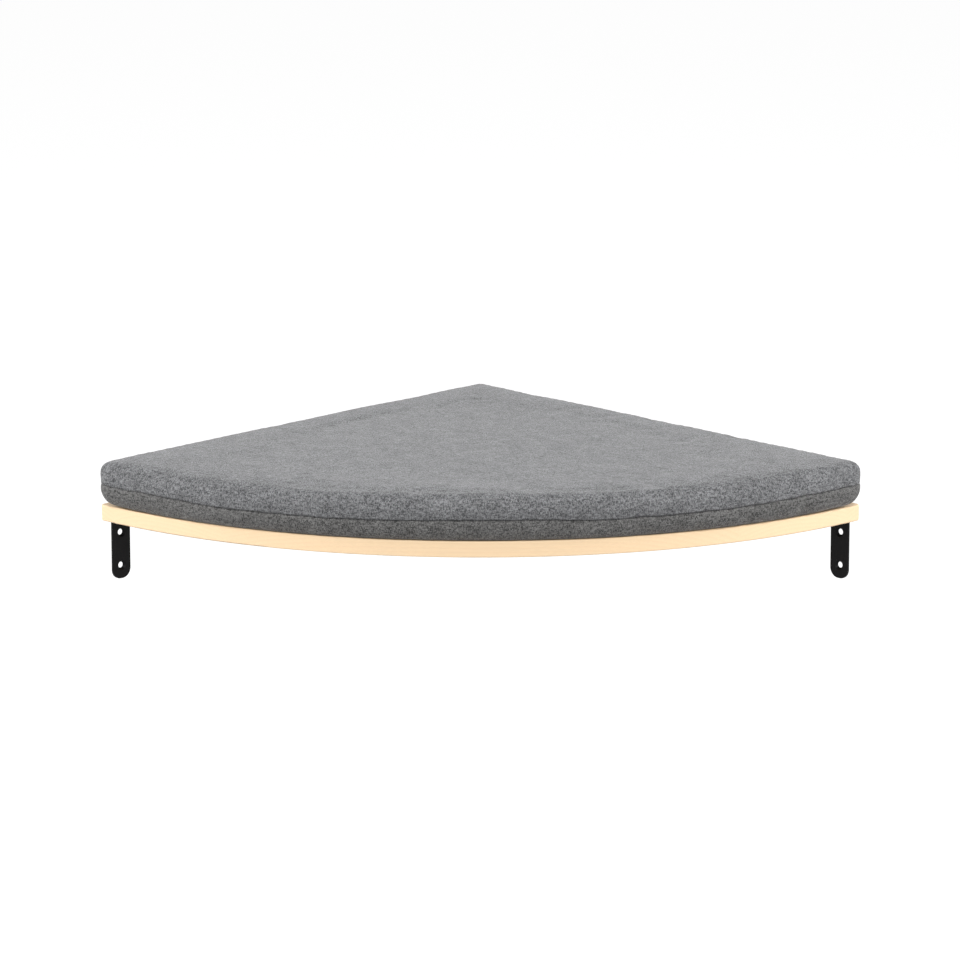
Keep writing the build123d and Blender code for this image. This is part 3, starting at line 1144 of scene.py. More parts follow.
    def panel_rings(self, edge: np.ndarray, middle: float, shares: np.ndarray) -> list[np.ndarray]:
        """Rings of a flat or crowned panel, from its edge in to its middle, with fewer points on short ones.

        The edge's heights spread in over the panel as they do in a stretched skin, and the crown rises evenly
        from all three sides, so no crease runs in from a corner.

        Args:
            edge: the ring that the panel starts from.
            middle: the height of the panel's middle.
            shares: how far out each ring lies, as shares of the way.

        Returns:
            The rings, the middle last.
        """
        rings = []
        centre = np.array([*self.centre, 0.0])
        steps = np.linalg.norm(np.roll(edge, -1, axis=0) - np.roll(edge, 1, axis=0), axis=1)
        fullest = self.clearance(edge, centre[None, :2])
        for share in (*shares, 0.0):
            thin = 2 ** sum(share <= limit for limit in (0.5, 0.25, 0.12, 0.06))
            ring = (centre + share * (edge - centre))[::thin] if share else centre[None].copy()
            away = ((ring[:, None, :2] - edge[None, :, :2]) ** 2).sum(2) + self.edge_blur**2
            carried = (steps / away) @ edge[:, 2] / (steps / away).sum(1)
            fullness = np.clip(self.clearance(edge, ring[:, :2]) / fullest, 0, 1)
            ring[:, 2] = carried + (middle - carried) * (1 - (1 - fullness) ** self.crown_ease)
            rings.append(ring)
        return rings

    def clearance(self, edge: np.ndarray, places: np.ndarray) -> np.ndarray:
        """How far places lie in from the panel's three edges together, as one rounded distance.

        Args:
            edge: the panel's edge.
            places: places on the panel.

        Returns:
            The distance of each place.
        """
        first = self.apex_points + self.side_points + self.corner_points
        front = edge[first : first + self.front_points]
        angles = np.arctan2(front[:, 1], front[:, 0])
        towards = np.arctan2(places[:, 1], places[:, 0])
        reach = np.interp(towards, angles, np.linalg.norm(front[:, :2], axis=1))
        low = edge[:, 0].min()
        parts = (places[:, 0] - low, places[:, 1] - low, reach - np.linalg.norm(places, axis=1))
        return sum(np.maximum(part, 0.01 * MM) ** -3 for part in parts) ** (-1 / 3)

    def lip_profile(self, panel: Panel) -> list[np.ndarray]:
        """Rings from the hem inside the seam out over the lip, or round the zip's channel where that is open.

        Each point is given as how far in from the outline and how far from the seam it lies, in millimetres.

        Args:
            panel: which half of the cover.

        Returns:
            The rings.
        """
        insets = self.top_lip if panel is Panel.TOP else self.bottom_lip
        inside, half, slot = self.channel_depth / MM, self.channel_half / MM, self.slot / MM
        zipped = (
            (inside + 0.9, np.maximum(slot + 0.5, 0.1)), (inside + 0.45, np.maximum(slot, 0.1)),
            (inside, np.maximum(slot + 0.35, 0.4)), (inside, half - 1.3), (inside - 0.8, half - 0.35),
            (inside - 2.6, half), (0.6, half + 0.15), (0.0, half + 1.1),
        )
        width = self.opening / self.channel_half
        zipped_share = eased(width, *self.zipped_from)
        rings = []
        for number, (in_sewn, up_sewn, (in_zip, up_zip)) in enumerate(zip(insets, self.lip_rises, zipped)):
            kept = self.seam_depth if 0 < number < 4 else 1.0
            inset = between(in_sewn * kept, in_zip, zipped_share)
            lift = up_zip if number < 3 else up_zip * np.maximum(width, 0.3)
            gape = self.seam_gape if 1 < number < 4 else 1.0
            rise = between(up_sewn * gape, lift, zipped_share)
            rings.append(self.ring(inset * MM, self.seam + panel.value * rise * MM + self.seam_wave))
        return rings

    def turned_edge(self, panel: Panel, start: np.ndarray, sunk: np.ndarray) -> list[np.ndarray]:
        """Rings along the side of a panel, over its fold and on to the edge of its flat.

        Args:
            panel: which half of the cover.
            start: how far from the seam the side starts at each point.
            sunk: how far inside the outline it starts there.

        Returns:
            The rings.
        """
        if panel is Panel.TOP:
            level, fold, lean, crest = self.rim, self.rim_fold, self.rim_lean, self.rim_crest
            foot = -self.under * (1 - self.opening / self.channel_half)
        else:
            level, fold, lean, crest = self.base + self.curl, self.under_fold, self.under_lean, 0.0
            foot = self.under_foot
        fold_height = fold * (1 - np.sin(lean))
        side = np.maximum(np.abs(level - self.seam) - start - fold_height, 2 * MM)
        base = level - panel.value * (fold_height + side)
        bend = side / (np.sin(lean) - np.sin(foot))
        rings = []
        for share in self.lean_shares:
            angle = between(foot, lean, share)
            inset = sunk + bend * (np.cos(foot) - np.cos(angle))
            rings.append(self.ring(inset, base + panel.value * bend * (np.sin(angle) - np.sin(foot))))
        lean_inset = sunk + bend * (np.cos(foot) - np.cos(lean))
        for share in self.fold_shares:
            angle = between(lean, math.pi / 2, share)
            inset = lean_inset + fold * (np.cos(lean) - np.cos(angle))
            height = side + fold * (np.sin(angle) - np.sin(lean))
            raised = crest if share == self.crest_share else 0.0
            height = base + panel.value * (height + raised * np.sin(angle))
            rings.append(self.ring(inset - raised * np.cos(angle), height))
        return rings

    def outside(self, panel: Panel) -> tuple[list[np.ndarray], int]:
        """Rings of a cover panel's outside, from its hem to the middle of its flat.

        Args:
            panel: which half of the cover.

        Returns:
            The rings, and the number of them that lie on the side.
        """
        rings = self.lip_profile(panel)
        start = np.abs(rings[-1][:, 2] - self.seam)
        rings += self.turned_edge(panel, start, self.inset(rings[-1]))
        middle = self.crown_top if panel is Panel.TOP else self.base
        shares = np.r_[0.985, 0.97, np.linspace(0.95, 0.05, 56)]
        fold = len(rings) - 4
        return rings + self.panel_rings(rings[-1], middle, shares), fold

    def inside(self, panel: Panel) -> list[np.ndarray]:
        """Rings of a cover panel's inside, from the middle of its flat back to its hem.

        Args:
            panel: which half of the cover.

        Returns:
            The rings.
        """
        hem = self.lip_profile(panel)[0]
        hem_inset = self.inset(hem)
        flat = self.wall_top - self.skin if panel is Panel.TOP else self.patch_top + self.skin
        side = np.maximum(hem_inset, self.skin + self.foam_gap) + 0.4 * MM
        drop = abs(flat - self.seam)
        rings = [self.ring(hem_inset + 0.3 * MM, hem[:, 2] + panel.value * 0.5 * MM)]
        rings.append(self.ring(side, self.seam + panel.value * drop * 0.55))
        rings.append(self.ring(side + 3 * MM, flat - panel.value * 1.5 * MM))
        rim = self.ring(self.fold + 3 * MM, flat)
        rings += self.panel_rings(rim, flat, np.array((1.0, 0.8, 0.5, 0.25, 0.1)))
        return rings[::-1]

    def cover(self, panel: Panel) -> None:
        """Makes one half of the cover as a closed skin with its cloth map.

        Args:
            panel: which half.
        """
        outer, fold = self.outside(panel)
        points, faces = stitch_rings(outer[::-1] + self.inside(panel)[::-1])
        sizes = [len(ring) for ring in outer]
        self.loosen(points[: sum(sizes)], panel)
        # The lower panel takes the darker cloth, whose extra darkness is painted shade.
        finish = COVER_TOP if panel is Panel.TOP else COVER_BOTTOM_SHADED
        piece = make_piece(f"cushion_{panel.name.lower()}_cover", points, faces, finish, "cushion")
        on_side = sum(sizes[fold:])
        along = np.zeros(len(points))
        along[on_side : sum(sizes)] = np.tile(self.length, fold)
        self.map_cloth(piece, along, on_side, sum(sizes))
        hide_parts(f"cover_{panel.name.lower()}")

    def map_cloth(self, piece: bpy.types.Object, along: np.ndarray, first: int, last: int) -> None:
        """Lays the cloth on a cover: round the side by length and height, and flat on the panel.

        Args:
            piece: the cover.
            along: how far round the outline each vertex lies.
            first: the first vertex on the side.
            last: the vertex after the side's last one.
        """
        mesh = piece.data
        corners = np.empty(len(mesh.loops), int)
        mesh.loops.foreach_get("vertex_index", corners)
        totals = np.empty(len(mesh.polygons), int)
        mesh.polygons.foreach_get("loop_total", totals)
        starts = np.r_[0, np.cumsum(totals)[:-1]]
        places = np.empty(3 * len(mesh.vertices))
        mesh.vertices.foreach_get("co", places)
        places = places.reshape(-1, 3)[corners]
        sideways = (corners >= first) & (corners < last)
        whole = np.repeat(np.logical_and.reduceat(sideways, starts), totals)
        round_it = along[corners]
        anchor = np.repeat(round_it[starts], totals)
        round_it = round_it - self.girth * np.round((round_it - anchor) / self.girth)
        side_map = np.stack([round_it, places[:, 2]], 1)
        root = math.sqrt(0.5)
        flat_map = np.stack([root * (places[:, 1] - places[:, 0]), root * (places[:, 1] + places[:, 0])], 1)
        layer = mesh.uv_layers.new(name=CLOTH_MAP)
        layer.data.foreach_set("uv", np.where(whole[:, None], side_map, flat_map).ravel())

    def loosen(self, points: np.ndarray, panel: Panel) -> None:
        """Moves the outside of a cover off its plain form, in place: slack, creases and puckers at the seam.

        Args:
            points: the outside's vertices.
            panel: which half of the cover.
        """
        clear = eased(points[:, :2], self.wall_gap, self.wall_gap + 3 * MM).prod(1)
        points += self.settling(points) * (1 - (1 - clear[:, None]) * (1, 1, 0))
        offset = points[:, :2] - self.centre
        radial = offset / np.maximum(np.linalg.norm(offset, axis=1), MM)[:, None]
        away = self.from_seam(points)
        near_seam = np.exp(-((away / self.pucker_reach) ** 2)) * eased(away, 0, 0.8 * MM)
        pucker = self.puckers.at(points) * near_seam
        wall = np.maximum(clear, self.wall_freedom)
        if panel is Panel.TOP:
            slack = self.long_slack.at(points) + self.short_slack.at(points)
            up = eased(points[:, 2], self.wall_top - 4 * MM, self.wall_top)
            points[:, 2] += slack * up
            points[:, :2] += radial * ((0.5 * slack * (1 - up) + pucker) * wall)[:, None]
        else:
            drawn = self.creases.at(points)
            side = eased(points[:, 2], self.base, self.base + 3 * MM)
            points[:, :2] += radial * ((drawn * side + pucker) * wall)[:, None]
            points[:, 2] += self.dent(points)

    def dent(self, points: np.ndarray) -> np.ndarray:
        """How far the bottom panel is pressed up over the patches.

        Args:
            points: vertices of the cover.

        Returns:
            The rise of each vertex.
        """
        rise = np.zeros(len(points))
        low = points[:, 2] < self.base + 0.5 * MM
        for middle, angle in PATCHES.spots():
            local = np.abs(turned(points[:, :2] - middle, -angle)) - (PATCHES.width / 2, PATCHES.length / 2)
            distance = np.linalg.norm(np.maximum(local, 0.0), axis=1)
            rise = np.maximum(rise, eased(distance, *self.dent_slope))
        return np.where(low, rise * (self.patch_top - self.base + self.dent_extra), 0.0)

    def coarse_skin(self) -> tuple[np.ndarray, list, np.ndarray]:
        """Makes a coarse closed skin of the cover's outside, to let the cloth settle on.

        Returns:
            Its points, its faces, and how firmly each point is held, from 0 to 1.
        """
        rings = []
        for panel in (Panel.BOTTOM, Panel.TOP):
            outer, fold = self.outside(panel)
            picked = outer[7:fold:2] + outer[fold::4]
            if len(outer[-1]) != len(picked[-1]):
                picked.append(outer[-1])
            rings.append([ring[:: max(1, len(ring) // self.coarse_points)] for ring in picked])
        seam = self.ring(0.6 * MM, self.seam + self.seam_wave)[:: len(self.outline) // self.coarse_points]
        points, faces = stitch_rings(rings[0][::-1] + [seam] + rings[1])
        inward = np.linalg.norm(points[:, :2] - self.centre, axis=1)
        reach = np.linalg.norm(self.outline - self.centre, axis=1)
        nearest = [reach[np.argmin(np.linalg.norm(self.outline - point, axis=1))] for point in points[:, :2]]
        share = inward / np.array(nearest)
        in_middle = eased(share, 0.87, 0.62)
        on_bottom = eased(points[:, 2] - self.base, 4 * MM, 1 * MM)
        at_seam = eased(self.from_seam(points), 2 * MM, 0)
        at_zip = points[:, 0] < self.wall_gap + 0.5 * MM
        return points, faces, np.max([in_middle, on_bottom, at_seam, at_zip], axis=0)

    def settle(self) -> tuple[KDTree, np.ndarray] | None:
        """Lets the cover's cloth settle over the foam's push, held at the seam, the flat bottom and the zip.
        """
        points, faces, held = self.coarse_skin()
        mesh = bpy.data.meshes.new("cloth_to_settle")
        mesh.from_pydata([tuple(point) for point in points], [], faces)
        skin = bpy.data.objects.new("cloth_to_settle", mesh)
        bpy.context.scene.collection.objects.link(skin)
        group = skin.vertex_groups.new(name="held")
        for number, firmness in enumerate(held):
            group.add([number], float(firmness), "REPLACE")
        cloth = skin.modifiers.new("settle", "CLOTH").settings
        cloth.quality = 8
        cloth.mass = 0.3
        cloth.tension_stiffness = cloth.compression_stiffness = 20.0
        cloth.bending_stiffness = 0.4
        cloth.vertex_group_mass = "held"
        cloth.use_pressure = True
        cloth.uniform_pressure_force = self.pressure
        cloth.shrink_min = -self.slack
        cloth.effector_weights.gravity = 0.0
        scene = bpy.context.scene
        for frame in range(1, self.settle_frames + 1):
            scene.frame_set(frame)
        moved = np.empty(3 * len(points))
        skin.evaluated_get(bpy.context.evaluated_depsgraph_get()).data.vertices.foreach_get("co", moved)
        moved = moved.reshape(-1, 3) - points
        scene.frame_set(1)
        bpy.data.objects.remove(skin)
        bpy.data.meshes.remove(mesh)
        length = np.linalg.norm(moved, axis=1)
        most, mean = length.max() / MM, length.mean() / MM
        LOG.info("cloth settled by %.2f mm at most, %.2f mm on average", most, mean)
        moved *= (self.most_settled * np.tanh(length / self.most_settled) / np.maximum(length, 1e-9))[:, None]
        tree = KDTree(len(points))
        for number, point in enumerate(points):
            tree.insert(Vector(point), number)
        tree.balance()
        return tree, moved

    def settling(self, points: np.ndarray) -> np.ndarray:
        """How far the cloth at each point moved when it settled.

        Args:
            points: vertices of the cover.
        """
        shift = np.zeros_like(points)
        if self.settled:
            tree, moved = self.settled
            for row, point in enumerate(points):
                near = tree.find_n(Vector(point), 4)
                weights = np.array([1 / (distance**2 + MM**2) for _, _, distance in near])
                shift[row] = weights @ moved[[number for _, number, _ in near]] / weights.sum()
        return shift

    def core(self) -> None:
        """Makes the foam core as a closed form just inside the cover."""
        gap = self.skin + self.foam_gap + 0.2 * MM
        relief = eased(self.opening, 0, self.channel_half) * (self.channel_depth + self.skin + 4.2 * MM)
        low, high = self.patch_top + gap + 0.2 * MM, self.wall_top - gap
        rings = [
            self.ring(gap + 0.75 * self.under_fold, low),
            self.ring(gap + 0.35 * self.under_fold, low + 2 * MM),
        ]
        for rise, share in self.foam_groove:
            notch = self.foam_notch if rise == 0.0 else 0.0
            rings.append(self.ring(gap + 0.8 * MM + notch + relief * share, self.seam + rise * MM))
        edge = self.fold + 1 * MM
        for angle in np.radians((0, 30, 60, 90)):
            inset = gap + 1.5 * MM + edge * (1 - math.cos(angle))
            rings.append(self.ring(inset, high - edge * (1 - math.sin(angle))))
        shares = np.array((0.97, 0.85, 0.7, 0.5, 0.35, 0.25, 0.12, 0.06))
        top = self.panel_rings(rings[-1], high + 1 * MM, shares)
        bottom = self.panel_rings(rings[0], low, shares)
        points, faces = stitch_rings(bottom[::-1] + rings + top)
        piece = make_piece("cushion_foam", points, faces, FOAM, "cushion")
        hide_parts("foam_core")

    def zip_stitching(self) -> None:
        """Sews a line of thread above and below the zip's channel."""
        margin = 5 * MM
        spots = np.linspace(self.channel_start + margin, self.channel_end - margin, 300)
        out = np.tile((-1.0, 0.0, 0.0), (len(spots), 1))
        for panel in Panel:
            height = self.seam + panel.value * (self.channel_half + 2.6 * MM)
            tuck = -0.05 * MM if panel is Panel.TOP else 0.02 * MM
            wall = np.full(len(spots), self.wall_gap + tuck)
            route = np.stack([wall, spots, np.full(len(spots), height)], 1)
            points, faces = thread_stitches(route, out, 3.6 * MM, 0.72, 0.2 * MM)
            make_piece(f"zip_stitches_{panel.name.lower()}", points, faces, COVER_THREAD, "cushion")

    def build(self) -> None:
        """Makes the whole cushion apart from its zip and patches."""
        for panel in Panel:
            self.cover(panel)
        self.core()
        self.zip_stitching()


@dataclass
class Patches:
    """Three pairs of hook and loop patches between the board and the cushion."""

    length: float = 60.0 * MM
    width: float = 20.0 * MM
    turn: float = 4.0 * MM
    front_radius: float = 300.0 * MM
    front_angle: float = 24.0
    back_radius: float = 120.0 * MM
    backing: float = 0.45 * MM
    backing_edge: float = 0.12 * MM
    backing_lift: float = 0.02 * MM
    pile_margin: float = 0.7 * MM
    hook_pitch: float = 2.0 * MM
    hook_path: tuple = ((0, 0), (0, 0.45), (0.08, 0.8), (0.3, 0.98), (0.55, 0.85), (0.62, 0.6))
    hook_widths: tuple = (0.22, 0.16, 0.15, 0.14, 0.12, 0.08)

    def spots(self) -> list[tuple[np.ndarray, float]]:
        """Finds where the patches lie.

        Returns:
            The middle and the turn of each.
        """
        front = self.front_radius
        places = ((front, self.front_angle), (front, 90 - self.front_angle), (self.back_radius, 45.0))
        angles = [math.radians(degrees) for _, degrees in places]
        return [(turned(np.array((radius, 0.0)), angle), angle) for (radius, _), angle in zip(places, angles)]

    def outline(self, margin: float) -> np.ndarray:
        """Rounded outline of a patch about its own middle.

        Args:
            margin: how far it is moved in from the patch's edge.

        Returns:
            Its points.
        """
        reach = np.array((self.width / 2 - self.turn, self.length / 2 - self.turn))
        points = []
        for quarter, corner in enumerate(((1, 1), (-1, 1), (-1, -1), (1, -1))):
            for step in range(7):
                angle = math.radians(90 * quarter + 15 * step)
                swing = (self.turn - margin) * np.array((math.cos(angle), math.sin(angle)))
                points.append(reach * corner + swing)
        return np.array(points)

    def backing_rings(self, low: float, high: float) -> tuple[np.ndarray, list]:
        """Closed skin of one patch's backing tape.

        Args:
            low: the height of its underside.
            high: the height of its top.

        Returns:
            The points and the faces.
        """
        edge, inner = self.backing_edge, 3 * MM
        profile = (
            (inner, low), (edge, low), (0.0, low + edge),
            (0.0, high - edge), (edge, high), (inner, high),
        )
        rings = []
        for margin, height in profile:
            line = self.outline(margin)
            rings.append(np.c_[line, np.full(len(line), height)])
        return stitch_rings([np.array([[0, 0, low]]), *rings, np.array([[0, 0, high]])])

    def spread(self, points: np.ndarray, faces: list) -> tuple[np.ndarray, list]:
        """Repeats a patch's mesh at the three places.

        Args:
            points: the mesh's points about the patch's own middle.
            faces: its faces.

        Returns:
            The points and the faces of all three.
        """
        spots = self.spots()
        placed = [np.c_[turned(points[:, :2], angle) + middle, points[:, 2]] for middle, angle in spots]
        joined = []
        for start in range(0, len(spots) * len(points), len(points)):
            joined += [tuple(number + start for number in face) for face in faces]
        return np.concatenate(placed), joined

    def grid(self, pitch: float, margin: float) -> np.ndarray:
        """Spots in staggered rows that fill a patch.

        Args:
            pitch: the distance from spot to spot.
            margin: how far they stay from the patch's edge.

        Returns:
            The spots.
        """
        rows = []
        reach_x, reach_y = self.width / 2 - margin, self.length / 2 - margin
        for number, y in enumerate(np.arange(-reach_y, reach_y, pitch * 0.87)):
            shift = pitch / 2 * (number % 2)
            for x in np.arange(-reach_x + shift, reach_x, pitch):
                corner = np.maximum(np.abs((x, y)) - (reach_x - self.turn, reach_y - self.turn), 0.0)
                if np.linalg.norm(corner) < self.turn:
                    rows.append((x, y))
        return np.array(rows)

    def hooks(self, base: float, height: float) -> tuple[np.ndarray, list]:
        """Small bent hooks that stand on a patch in rows.

        Args:
            base: the height of the backing's face.
            height: how far the hooks stand up from it.

        Returns:
            The points and the faces.
        """
        corners = ((-1, -1), (1, -1), (1, 1), (-1, 1))
        points, faces = [], []
        chance = np.random.default_rng(11)
        for x, y in self.grid(self.hook_pitch, 1.6 * MM):
            faces += tube_faces(len(points), len(self.hook_path), len(corners))
            way = 1 if chance.random() < 0.5 else -1
            lean = chance.normal(0, 0.04)
            for (step, rise), width in zip(self.hook_path, self.hook_widths):
                for side_x, side_y in corners:
                    swing = (way * (step + lean * rise) + side_x * width / 2) * height
                    points.append((x + side_y * width / 2 * height, y + swing, base + rise * height))
        return np.array(points), faces

    def pile(self, base: float, depth: float) -> tuple[np.ndarray, list]:
        """A closed mat of tangled loops that hangs from a patch's backing.

        Args:
            base: the height of the backing's face.
            depth: how far the pile reaches from it, negative for down.

        Returns:
            The points and the faces.
        """
        columns, rows = 34, 100
        xs, ys = np.linspace(-1, 1, columns), np.linspace(-1, 1, rows)
        half_x, half_y = self.width / 2 - self.pile_margin, self.length / 2 - self.pile_margin
        grid = np.array([(x * half_x, y * half_y) for y in ys for x in xs])
        corner = np.maximum(np.abs(grid) - (half_x - self.turn, half_y - self.turn), 0.0)
        distance = np.linalg.norm(corner, axis=1)
        pull = np.where(distance > self.turn, self.turn / np.maximum(distance, MM), 1.0)[:, None]
        grid = np.sign(grid) * (np.abs(grid) - corner + corner * pull)
        flat = np.c_[grid, np.zeros(len(grid))]
        rough = 0.5 + 0.5 * wander(flat, 1.3 * MM, 4.4)
        rim = eased(np.maximum(np.abs(np.tile(xs, rows)), np.abs(np.repeat(ys, columns))), 1, 11 / 12)
        heights = base + depth * (0.15 + 0.85 * rough) * rim
        points = np.concatenate([np.c_[grid, heights], np.c_[grid, np.full(len(grid), base - 0.02 * depth)]])
        faces = []
        total = columns * rows
        for row in range(rows - 1):
            for column in range(columns - 1):
                k = row * columns + column
                quad = (k, k + 1, k + columns + 1, k + columns)
                faces += [quad, tuple(total + number for number in reversed(quad))]
        rim_path = list(range(columns)) + [row * columns + columns - 1 for row in range(1, rows)]
        rim_path += [total - 1 - k for k in range(1, columns)]
        rim_path += [row * columns for row in range(rows - 2, 0, -1)]
        for here, there in zip(rim_path, rim_path[1:] + rim_path[:1]):
            faces.append((here, total + here, total + there, there))
        return points, faces

    def sewing(self, height: float, way: float) -> tuple[np.ndarray, list]:
        """Stitches round a patch, near its edge.

        Args:
            height: the height of the backing's face.
            way: 1 where that face looks up, -1 where it looks down.

        Returns:
            The points and the faces.
        """
        line = self.outline(1.2 * MM)
        route = np.c_[np.vstack([line, line[:1]]), np.full(len(line) + 1, height)]
        out = np.tile((0.0, 0.0, way), (len(route), 1))
        return thread_stitches(route, out, 2.6 * MM, 0.7, 0.14 * MM)

    def build(self) -> None:
        """Makes the hooked halves on the board and the looped halves under the cushion."""
        low, high = (corner[2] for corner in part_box("hook_patches"))
        backing = self.spread(*self.backing_rings(low + self.backing_lift, low + self.backing))
        hooked = make_piece("hook_patch_tape", *backing, FASTENER_TAPE, "shelf")
        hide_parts("hook_patches")
        hooks = self.spread(*self.hooks(low + self.backing - 0.05 * MM, high - low - self.backing))
        make_piece("hook_patch_hooks", *hooks, HOOK_NYLON, "shelf", smooth=False)
        low, high = (corner[2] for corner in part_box("loop_patches"))
        backing = self.spread(*self.backing_rings(high - self.backing, high - self.backing_lift))
        looped = make_piece("loop_patch_tape", *backing, FASTENER_TAPE, "cushion")
        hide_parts("loop_patches")
        pile = self.spread(*self.pile(high - self.backing, self.backing + low - high))
        make_piece("loop_patch_pile", *pile, LOOP_PILE, "cushion")
        sewing = self.spread(*self.sewing(high - self.backing, -1.0))
        make_piece("loop_patch_stitches", *sewing, PATCH_THREAD, "cushion")


PATCHES = Patches()


@dataclass
class Zip:
    """The cover's zip tapes, woven in place of the plain ones. Its hard parts stay as they are."""

    cells_along: int = 230
    cells_across: int = 9
    edge_swell: float = 0.25
    edge_width: float = 0.9 * MM
    ripple: float = 0.03 * MM
    ripple_pitch: float = 1.25 * MM

    def tape(self, side: str) -> None:
        """Makes one tape with its thicker woven edge.

        Args:
            side: upper or lower.
        """
        low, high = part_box(f"zip_{side}_tape")
        heights = np.linspace(low.z, high.z, self.cells_across)
        inner = low.z if side == "upper" else high.z
        spots = np.linspace(low.y, high.y, self.cells_along)
        middle, half = (low.x + high.x) / 2, (high.x - low.x) / 2 * 0.8
        swell = 1.0 + self.edge_swell * np.exp(-(((heights - inner) / self.edge_width) ** 2))
        rings = []
        for spot in spots:
            ripple = self.ripple * math.sin(spot / self.ripple_pitch)
            along = np.full(len(heights), spot)
            front, back = (np.c_[middle + way * half * swell + ripple, along, heights] for way in (-1, 1))
            rings.append(np.vstack([front, back[::-1]]))
        ends = [rings[0].mean(0)[None], rings[-1].mean(0)[None]]
        points, faces = stitch_rings([ends[0], *rings, ends[1]])
        piece = make_piece(f"zip_cloth_{side}", points, faces, ZIP_CLOTH, "cushion")
        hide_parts(f"zip_{side}_tape")

    def build(self) -> None:
        """Makes the tapes."""
        for side in ("upper", "lower"):
            self.tape(side)


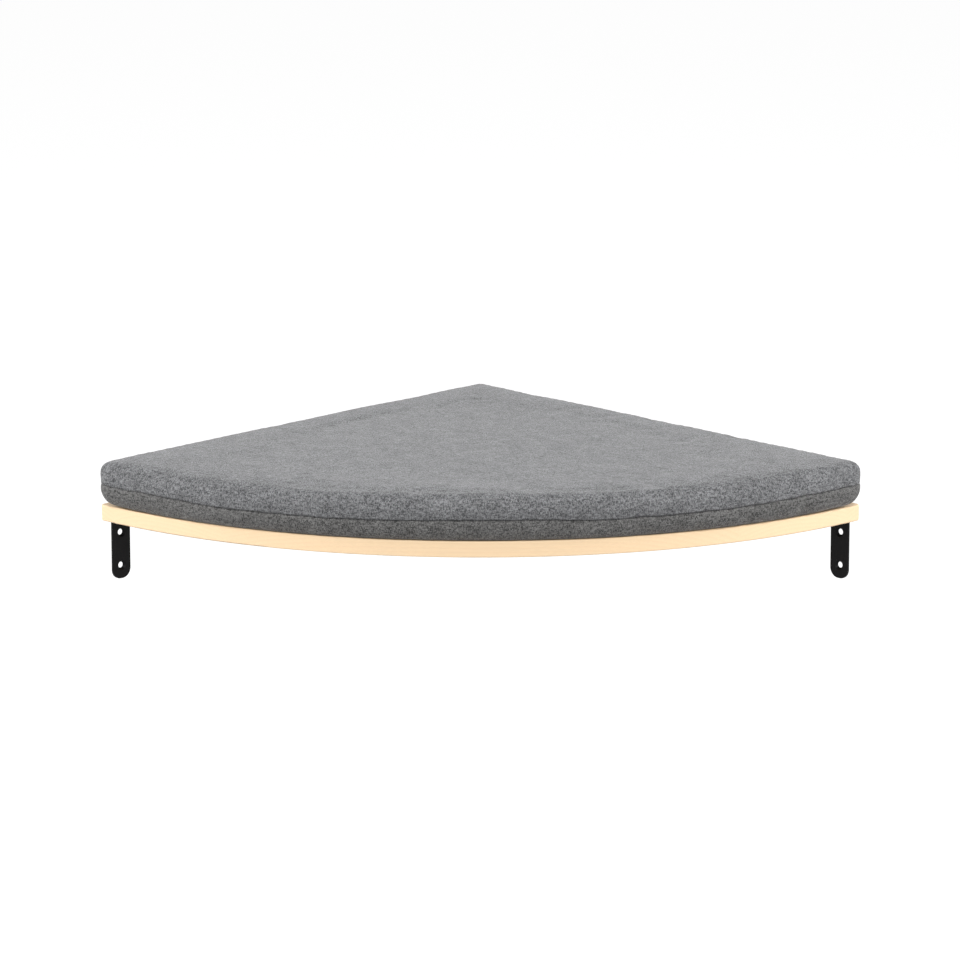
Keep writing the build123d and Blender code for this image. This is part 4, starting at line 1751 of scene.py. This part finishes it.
@dataclass(frozen=True)
class Studio:
    """Pale floor, plain light, and the camera that the photograph was taken with."""

    focal_pixels: float = 5459.3
    middle_pixel: float = 480.4
    camera_reach: float = 4.1729
    camera_height: float = 0.9336
    camera_pitch: float = 0.2280
    floor_drop: float = 0.42
    floor_reach: float = 16.0
    world_level: float = 0.42
    floor_grey: float = 0.42
    floor_glow: float = 0.79
    lamps_aim: tuple = (0.15, 0.15, 0.03)
    lamps: tuple = (
        ("lamp_overhead", (0.3, 0.3, 2.4), 1.6, 4.0),
        ("lamp_key", (2.0, 2.0, 1.5), 1.4, 52.0),
        ("lamp_left", (1.86, -1.39, 0.85), 1.2, 38.0),
        ("lamp_right", (-1.39, 1.86, 0.85), 1.2, 38.0),
    )

    def camera(self) -> None:
        """Stands the camera on the diagonal of the corner, aimed back along it and tipped down."""
        lens = bpy.data.cameras.new("photo_camera")
        lens.sensor_width = SENSOR_WIDTH
        lens.lens = self.focal_pixels * SENSOR_WIDTH / IMAGE_PIXELS
        lens.clip_end = 4 * self.floor_reach
        lens.shift_x = (IMAGE_PIXELS / 2 - self.middle_pixel) / IMAGE_PIXELS
        camera = bpy.data.objects.new("photo_camera", lens)
        level = math.cos(self.camera_pitch) / math.sqrt(2)
        aim = Vector((-level, -level, -math.sin(self.camera_pitch)))
        across = self.camera_reach / math.sqrt(2)
        spot = Vector((across, across, self.camera_height))
        camera.matrix_world = Matrix.Translation(spot) @ aim.to_track_quat("-Z", "Y").to_matrix().to_4x4()
        bpy.context.scene.collection.objects.link(camera)
        bpy.context.scene.camera = camera

    def lamp(self, name: str, spot: tuple, size: float, power: float) -> None:
        """Hangs one soft square lamp.

        Args:
            name: the lamp's name.
            spot: where it hangs.
            size: its side in metres.
            power: its power in watts.
        """
        light = bpy.data.lights.new(name, "AREA")
        light.shape = "SQUARE"
        light.size = size
        light.energy = power
        lamp = bpy.data.objects.new(name, light)
        lamp.location = spot
        lamp.rotation_euler = (Vector(self.lamps_aim) - Vector(spot)).to_track_quat("-Z", "Y").to_euler()
        bpy.context.scene.collection.objects.link(lamp)

    def world(self) -> None:
        """Lights the scene evenly, and shows as white where it is seen."""
        world = bpy.data.worlds.new("studio_world")
        bpy.context.scene.world = world
        world.use_nodes = True
        graph = Graph(world.node_tree)
        level = graph.line(graph.seen(), 1.0 - self.world_level, self.world_level)
        back = graph.add("Background", {"Color": (1.0, 1.0, 1.0, 1.0), "Strength": level})
        graph.add("OutputWorld", {"Surface": back.outputs[0]})

    def floor_material(self) -> bpy.types.Material:
        """Makes a pale matt floor that looks white, keeps the shadow, and can't be seen from below.

        Returns:
            The material.
        """
        material = bpy.data.materials.new("studio_floor")
        material.use_nodes = True
        graph = Graph(material.node_tree)
        matt = graph.add("BsdfDiffuse", {"Color": (self.floor_grey, self.floor_grey, self.floor_grey, 1.0)})
        glow = graph.add("Emission", {"Strength": graph.times(graph.seen(), self.floor_glow)})
        lit = graph.add("AddShader", {0: matt.outputs[0], 1: glow.outputs[0]})
        clear = graph.add("BsdfTransparent")
        below = graph.add("NewGeometry").outputs["Backfacing"]
        shown = graph.add("MixShader", {0: below, 1: lit.outputs[0], 2: clear.outputs[0]})
        graph.add("OutputMaterial", {"Surface": shown.outputs[0]})
        return material

    def floor(self) -> None:
        """Lays the floor well below the shelf."""
        reach = self.floor_reach
        mesh = bpy.data.meshes.new("studio_floor")
        corners = [(-reach, -reach), (reach, -reach), (reach, reach), (-reach, reach)]
        mesh.from_pydata([(x, y, -self.floor_drop) for x, y in corners], [], [(0, 1, 2, 3)])
        mesh.materials.append(self.floor_material())
        floor = bpy.data.objects.new("studio_floor", mesh)
        bpy.context.scene.collection.objects.link(floor)

    def build(self) -> None:
        """Sets up the camera, the lamps, the world and the floor."""
        self.camera()
        self.world()
        self.floor()
        for lamp in self.lamps:
            self.lamp(*lamp)


def dress_nodes(nodes: dict[str, bpy.types.Object]) -> None:
    """Finishes the rigid nodes that are shown as they are.

    Args:
        nodes: the frame's nodes by name.
    """
    brackets = [f"{side}_{place}" for side in ("left", "right") for place in ("outer", "inner")]
    finishes = {"shelf_board": BOARD_PINE}
    finishes.update({f"zip_{part}": ZIP_CAST for part in ("stops", "slider", "pull")})
    finishes.update({f"{name}_bracket": BRACKET_BLACK for name in brackets})
    finishes.update({f"{name}_screws": SCREW_ZINC for name in brackets})
    finishes.update({f"zip_{side}_teeth": ZIP_PLASTIC for side in ("upper", "lower")})
    for name, finish in finishes.items():
        node = nodes[name]
        node.data.materials.clear()
        node.data.materials.append(finish.material())
        LOG.info("%s: finished with %s", name, finish.name)


def set_colours() -> None:
    """Shows colours as they are written."""
    bpy.context.scene.view_settings.view_transform = "Standard"


def main() -> None:
    """Loads the frame and builds everything in order."""
    logging.basicConfig(level=logging.INFO, format="%(name)s: %(message)s")
    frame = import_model()
    set_colours()
    Studio().build()
    dress_nodes(frame["nodes"])
    Cushion().build()
    PATCHES.build()
    Zip().build()


if __name__ == "__main__":
    main()
